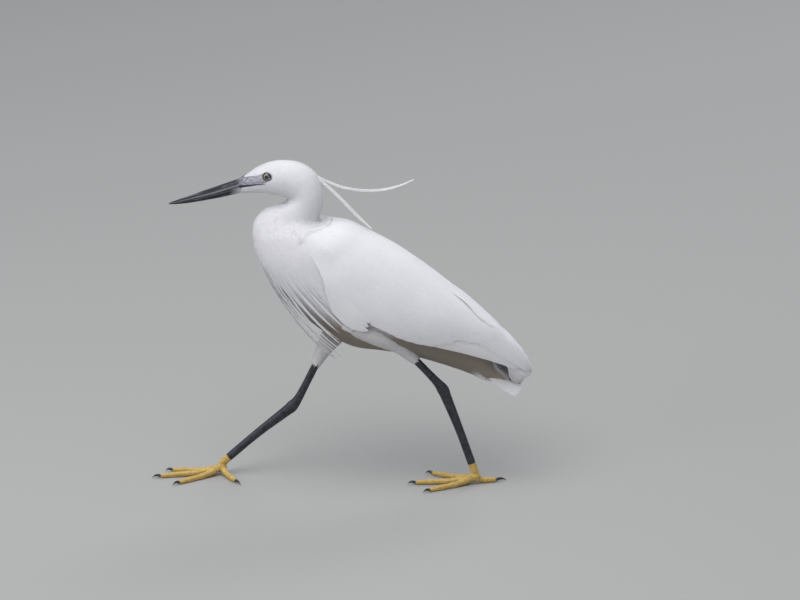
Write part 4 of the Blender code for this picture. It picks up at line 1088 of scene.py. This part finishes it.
# The tail: twelve broad feathers that lie round a short root among the tail coverts like a steep roof, each over
# the next one out.
TAIL_START, TAIL_SLOPE = (159, 123.15), math.radians(-33.5)
TAIL_ROOT_RINGS = np.array([(0, 8, 10.5), (6, 8.6, 8.4), (13, 8.8, 5.4), (20, 8.6, 2.6), (25, 7, 1)])
TAIL_FEATHERS, TAIL_ROOF, TAIL_RISE = 12, math.radians(78), 7.5
TAIL_LENGTH, TAIL_HALF = 1.03 * 37.8, 4.3  # of each feather: its length and half its width


def tail_point(along, across, up):
    x = TAIL_START[0] + along * math.cos(TAIL_SLOPE) - up * math.sin(TAIL_SLOPE)
    z = TAIL_START[1] + along * math.sin(TAIL_SLOPE) + up * math.cos(TAIL_SLOPE)
    return np.stack(np.broadcast_arrays(x, across, z), -1)


def tail_root_place(u, v):
    along, wide, high = np.moveaxis(spline(TAIL_ROOT_RINGS, u * 4), -1, 0)
    return tail_point(along, 0.66 * wide * np.sin(TURN * v), 0.66 * high * np.cos(TURN * v))


tail_root = surface("tail_root", skin_finish, tail_root_place, 16, 24)
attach(tail_root, "root")
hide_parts("tail")
rng = np.random.default_rng(81)
slot = 2 * (np.arange(TAIL_FEATHERS) + 0.5) / TAIL_FEATHERS - 1
long = TAIL_LENGTH * (1 - 0.1 * slot ** 2 - 0.16 * (1 - np.abs(slot)) ** 2) * rng.uniform(0.985, 1, TAIL_FEATHERS)


def on_tail(along, aside, lift):
    """along is 0 to 1 down each feather, and aside is how far across it."""
    share = -0.1 + along * 1.1
    radius = 7 + 7.5 * share
    reach = aside * TAIL_HALF * (0.5 + 0.5 * along)
    lift = lift + aside * np.sign(slot) * 0.45
    sideways = (radius + lift) * np.sin(slot * TAIL_ROOF) + reach * np.cos(slot * TAIL_ROOF)
    up = TAIL_RISE * share - radius + (radius + lift) * np.cos(slot * TAIL_ROOF) - reach * np.sin(slot * TAIL_ROOF)
    return tail_point(share * long, sideways, up)


roots = np.stack([np.full(TAIL_FEATHERS, 0.5), 0.5 + 0.4 * slot], -1)
# The tail's low tones and warm tint are painted shade, for the shade it lies in below the wings, with a little real
# stain.
tone = 0.15 * rng.random(TAIL_FEATHERS)
batch = vanes(on_tail, 0 * slot, 1, 0, 1, 0, 0, tone, roots, tilt=0, thick=0.22, warm=0.27)
feather_piece("tail_feathers", [batch], vane_finish)

COVERT_ROWS, COVERTS_ACROSS = 7, 5  # the tail coverts, in layers that fill the hollow between tail and wing tips
row, aside_row = (grid.ravel() for grid in np.meshgrid(np.arange(COVERT_ROWS), np.linspace(-4, 4, COVERTS_ACROSS)))


def over_tail(along, aside, lift):
    far = (along + 6) / 40
    high = 1 + 2.4 * row + far * (7 - 1.07 * row)
    return tail_point(along, (1.3 - 0.3 * far) * aside_row + 1.7 * aside, high + lift)


count = len(row)
# The tail coverts' low tones and warm tint are painted shade, for the hollow between tail and wing tips that they
# fill.
batch = vanes(over_tail, -6, 34 - rng.uniform(0, 3, count), 0, 1, 0, 0.3,
              0.3 * rng.random(count), np.stack([0.05 + 0.02 * row, 0.5 + 0.1 * aside_row], -1), tilt=0, warm=0.35)
feather_piece("tail_coverts", [batch], vane_finish)

# The crest: two very long narrow plumes that grow from the nape and blow out behind, each a fine shaft with soft
# barbs that lie along it.
CREST = {
    "upper": (((-33, 1.8, 346.2), (-24.5, 2.2, 341.3), (-12, 2.6, 335.3), (2.7, 2.8, 330.5), (22, 3, 327.9),
               (41.3, 3.2, 328.9), (58.6, 3.4, 333.3), (74.6, 3.6, 340.4)),
              (1.5, 1.6, 1.7, 1.8, 1.7, 1.6, 1.2, 0.45)),
    "lower": (((-29.8, -1.8, 344.5), (-22.3, -2, 337.6), (-10.9, -2.2, 327.2), (2.4, -2.4, 313.3),
               (15.6, -2.6, 299.4), (29, -2.8, 286.8)),
              (1.6, 1.8, 2, 2, 1.8, 0.7)),
}
SHAFTS, BARBS = 7, 1000
for name, (path, widths) in CREST.items():
    rng = np.random.default_rng(91)
    path, last = np.array(path), len(path) - 1
    pieces = []
    for form, count, half in (("strand", SHAFTS, 0.42), ("blade", BARBS, 0.34)):
        stations = np.append(FORMS[form][0], 1)
        if form == "strand":
            t, off = stations * (last - 0.02) * rng.uniform(0.93, 1, (count, 1)), 0.35
        else:
            start = rng.uniform(0, last * 0.965, (count, 1))
            t = np.minimum(start + stations * rng.uniform(0.5, 0.8, (count, 1)), last - 0.01)
            off = 0.25 + 0.75 * stations
        turn = rng.uniform(0, TURN, (count, 1))
        ahead = unit(spline(path, t + 0.02) - spline(path, t - 0.02))
        aside = unit(np.cross(ahead, (0, 0, 1)))
        up = np.cross(aside, ahead)
        wide = spline(np.array(widths), t)
        outer = up * (np.cos(turn) * off * wide)[..., None] + aside * (0.5 * np.sin(turn) * off * wide)[..., None]
        rings, tips = rings_on(form, spline(path, t) + outer, aside + 0.3 * up, half, half * 0.6)
        roots = np.stack([0.02 + 0.96 * t[:, 0] / last, np.broadcast_to(turn[:, 0] / 6.5, (count,))], -1)
        pieces.append(feather_batch(form, rings, tips, roots, 1, 0, 12, half))
    plume = feather_piece("crest_" + name, pieces, coat_finish)
    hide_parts("crest_plume_" + name)

# The bare legs: one black skin over shin, ankle and shank, from inside the thigh's cuff to the yellow foot. Broad
# plates lie one over the next down its front, and small many-sided scales cover the rest.
LEGS = {  # x, y and z down each leg: thigh, shin, ankle, shank and the joint of the toes; then the toes' reach
    "right": (
        (22, -8, -24, -32, -43.5, -52, -58.5, -66, -97.5, -136.5),
        (15, 14, 14, 14, 14, 14, 14, 14, 14, 14),
        (196, 165, 143, 127.6, 104, 87.5, 79, 72.5, 47, 12.5),
        {"inner": (-52, -38), "middle": (-75.5, -14), "outer": (-62, 8), "hind": (22, -38)},
    ),
    "left": (
        (2, 38, 60.5, 77.8, 89, 99.5, 106, 109.8, 124, 141.5),
        (-13.5, -13.5, -12.5, -12, -12.2, -12.4, -12.6, -12.8, -14, -16),
        (190, 171, 157, 139.4, 127.5, 116, 107.5, 98.5, 62, 12.5),
        {"inner": (-54, 31), "middle": (-74, -4), "outer": (-57, -31), "hind": (34, 8)},
    ),
}
LEG_PATHS = {name: np.array(leg[:3]).T for name, leg in LEGS.items()}
LEG_RADII = np.array([(4.1, 3.5)] * 4 + [(4.1, 3.4), (4.8, 3.9), (6.4, 4.8), (5.8, 4.5), (4.6, 3.6), (4.4, 3.7)])
LEG_TOP, YELLOW_TOP, TOE_JOINT = 2.3, 8.78, 9
PLATE = 2.7  # millimetres down the leg from one front plate to the next

tree = scale_relief = new_group("scale_relief", {"Plate": "Float"}, {"Crack": "Float", "Height": "Float"})
plate = node(tree, "NodeGroupInput").outputs["Plate"]
where = marks_of(tree)
parts = parts_of(tree, where)
step = math_node(tree, "FRACT", math_node(tree, "DIVIDE", parts["Z"], plate))
rim = math_node(tree, "ABSOLUTE", math_node(tree, "SUBTRACT", step, 0.5))
front_crack = ranged(tree, rim, 0.4, 0.49)
cells = node(tree, "TexVoronoi", {"Vector": where, "Scale": 0.62}, feature="DISTANCE_TO_EDGE")
side_crack = ranged(tree, cells.outputs["Distance"], 0.02, 0.12, 1, 0)
crack = blended(tree, ranged(tree, parts["X"], 1.3, 1.9), side_crack, front_crack)
out = node(tree, "NodeGroupOutput")
tree.links.new(crack, out.inputs["Crack"])
tree.links.new(math_node(tree, "SUBTRACT", 1, crack), out.inputs["Height"])


def scaled_skin(name, dark, light, crack_colour, roughness, plate, relief):
    """Scaly skin that varies between two colours, with a third in the cracks between its scales."""
    made = new_material(name, dark, roughness, Specular_IOR_Level=0.45)
    tree = made.node_tree
    scales = node(tree, "Group", {"Plate": plate}, node_tree=scale_relief)
    cloud = noise(tree, 260, 4)
    skin_colour = ramp(tree, cloud, (0.35, dark), (0.68, light))
    colour = blended(tree, math_node(tree, "MULTIPLY", scales.outputs["Crack"], 0.7), skin_colour, crack_colour)
    dull = ramp(tree, cloud, (0.3, roughness - 0.08), (0.7, roughness + 0.12))
    paint(made, colour, dull, scales.outputs["Height"], relief)
    return made


# The black leg's lighter bluish mottle is partly painted sheen, partly the skin's own mottle.
leg_finish = scaled_skin("black_leg", (0.012, 0.013, 0.018), (0.05, 0.055, 0.074), (0.006, 0.006, 0.008), 0.36, PLATE,
                         0.12)
for name, path in LEG_PATHS.items():
    fine = np.linspace(LEG_TOP, TOE_JOINT, 400)
    run = np.append(0, np.cumsum(np.linalg.norm(np.diff(spline(path, fine), axis=0), axis=1)))

    def leg_place(u, v):
        t = LEG_TOP + u * (YELLOW_TOP - LEG_TOP)
        return limb_point(path, LEG_RADII, t, v * TURN, 0.06 * np.cos(3 * v * TURN))

    def leg_marks(u, v):
        t = LEG_TOP + u * (YELLOW_TOP - LEG_TOP)
        return np.stack([3 * np.cos(v * TURN), 3 * np.sin(v * TURN), np.interp(t, fine, run)], -1)

    leg = surface("leg_" + name, leg_finish, leg_place, 150, 28, leg_marks, 70)
    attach(leg, "root")
    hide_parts("shin_" + name, "shank_" + name)

# The feet: ochre yellow skin, one closed piece from the lower end of the shank over the pad to the four toes. Each
# toe swells at its joints, is flat beneath, and wears small plates on top. The claws are curved black-brown horn.
TOE_SHARES, TOE_HEIGHTS = (0, 0.22, 0.45, 0.75, 1), (8.5, 5.2, 3.1, 2.8, 2.5)
TOE_RADII = (3.8, 3.5, 3.2, 2.9, 2.6)
CLAW_LENGTHS = {"inner": 9, "middle": 9.5, "outer": 8.5, "hind": 12}
CLAW = ((0, 0.35, 0.7, 1), (0, 0.5, 0.3, -1.3), (1.9, 1.6, 1.05, 0.25), (1.35, 1.1, 0.75, 0.25))
CLAW_GAP, CLAW_LOW = 0.35, 0.15  # before the claw's root, and under its tip
FOOT_VOXEL = 0.55
PAD_DROP, PAD_SIZE, PAD_TOP, TOE_ROOT = 4.6, Vector((6.2, 5.2, 6)), 9, 6
LEG_MARKS = 40  # where the count of plates starts on the foot's upper part, past those of the toes
foot_finish = scaled_skin("yellow_foot", (0.56, 0.37, 0.09), (0.7, 0.5, 0.17), (0.34, 0.21, 0.05), 0.5, 2.3, 0.2)
claw_finish = new_material("claw_horn", (0.03, 0.025, 0.02), 0.3, Coat_Weight=0.2, Coat_Roughness=0.2)
tree = claw_finish.node_tree
fibre = noise(tree, 900, 3)
from_base = parts_of(tree, marks_of(tree))["Z"]
horn = ramp(tree, fibre, (0.35, (0.014, 0.012, 0.012)), (0.7, (0.05, 0.042, 0.038)))
paint(claw_finish, blended(tree, ramp(tree, from_base, (0, 0.8), (0.22, 0)), horn, (0.16, 0.11, 0.06)),
      ramp(tree, fibre, (0.3, 0.24), (0.7, 0.42)), fibre, 0.05)


def floored(points, floor=0):
    points[..., 2] = np.maximum(points[..., 2], floor)
    return points


def toe_round(joint, out, along, high, wide, thick, turn):
    """Points round a toe or a claw, whose line lies so far along from the joint and so high over the floor."""
    up = np.array((0, 0, 1))
    line = joint * (1, 1, 0) + out * along[:, None] + up * high[:, None]
    return line + np.cross(up, out) * (wide * np.sin(turn))[:, None] + up * (thick * np.cos(turn))[:, None]


for name, path in LEG_PATHS.items():
    joint, toes = path[TOE_JOINT], LEGS[name][3]
    bm = bmesh.new()
    cover(bm, lambda u, v: limb_point(path, LEG_RADII, YELLOW_TOP + 0.004 + u * (TOE_JOINT - YELLOW_TOP), v * TURN),
          8, 24)
    pad = bmesh.ops.create_uvsphere(bm, u_segments=24, v_segments=16, radius=1)["verts"]
    for vertex in pad:
        vertex.co = Vector(joint - (0, 0, PAD_DROP)) + vertex.co * PAD_SIZE
    ways = {toe: unit(np.array((*reach, 0))) for toe, reach in toes.items()}
    for toe, out in ways.items():
        length = np.linalg.norm(toes[toe]) - CLAW_LENGTHS[toe]

        def toe_place(u, v):
            high, radius = np.interp(u, TOE_SHARES, TOE_HEIGHTS), np.interp(u, TOE_SHARES, TOE_RADII)
            swell = 1 + 0.07 * np.cos(2 * math.pi * u * 4) - 0.25 * ease(u, 0.93, 1)
            low = np.where(np.cos(v * TURN) < 0, 1.06, 1)
            return toe_round(joint, out, u * length, high, radius * swell, radius * swell * low, v * TURN)

        cover(bm, toe_place, 60, 20)
    foot = finished(bm, "foot_skin_" + name, foot_finish)
    bm = merged(foot, FOOT_VOXEL, 4)
    layer = bm.verts.layers.float_vector.new("scales")
    at = floored((np.array([vertex.co for vertex in bm.verts]) - SHIFT) / MM)
    outs = np.stack(list(ways.values()))
    off = at[:, None] - (joint * (1, 1, 0) + outs * TOE_ROOT)[None]
    along = np.stack([off[:, k] @ out for k, out in enumerate(outs)], 1)
    aside = np.linalg.norm(off - along[..., None] * outs[None], axis=-1)
    nearest = np.argmin(aside + 1000 * (along < 0), axis=1)
    along = along[np.arange(len(at)), nearest]
    up_leg = np.where(at[:, 2] > PAD_TOP, LEG_MARKS + at[:, 2], along)
    for vertex, mark, here in zip(bm.verts, up_leg, at):
        front = vertex.normal.z if here[2] < PAD_TOP else -vertex.normal.x
        vertex[layer] = (3 * front, 3 * vertex.normal.y, mark)
        vertex.co = in_model(here)
    stored(bm, foot.data)
    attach(foot, "root")
    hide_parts("foot_" + name)

    for toe, out in ways.items():
        start = np.linalg.norm(toes[toe]) - CLAW_LENGTHS[toe] + CLAW_GAP
        length = CLAW_LENGTHS[toe] - CLAW_GAP

        def claw_place(u, v):
            rise, high, wide = (np.interp(u, CLAW[0], CLAW[k]) for k in (1, 2, 3))
            over = TOE_HEIGHTS[-1] + rise + 0.5 * np.sin(math.pi * u)
            return floored(toe_round(joint, out, start + u * length, over, wide, high, v * TURN), CLAW_LOW)

        horn_piece = surface("claw_horn_%s_%s" % (name, toe), claw_finish, claw_place, 20, 14,
                             lambda u, v: np.stack([u, v, u], -1), 60)
        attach(horn_piece, "root")
        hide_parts("claw_%s_%s" % (name, toe))
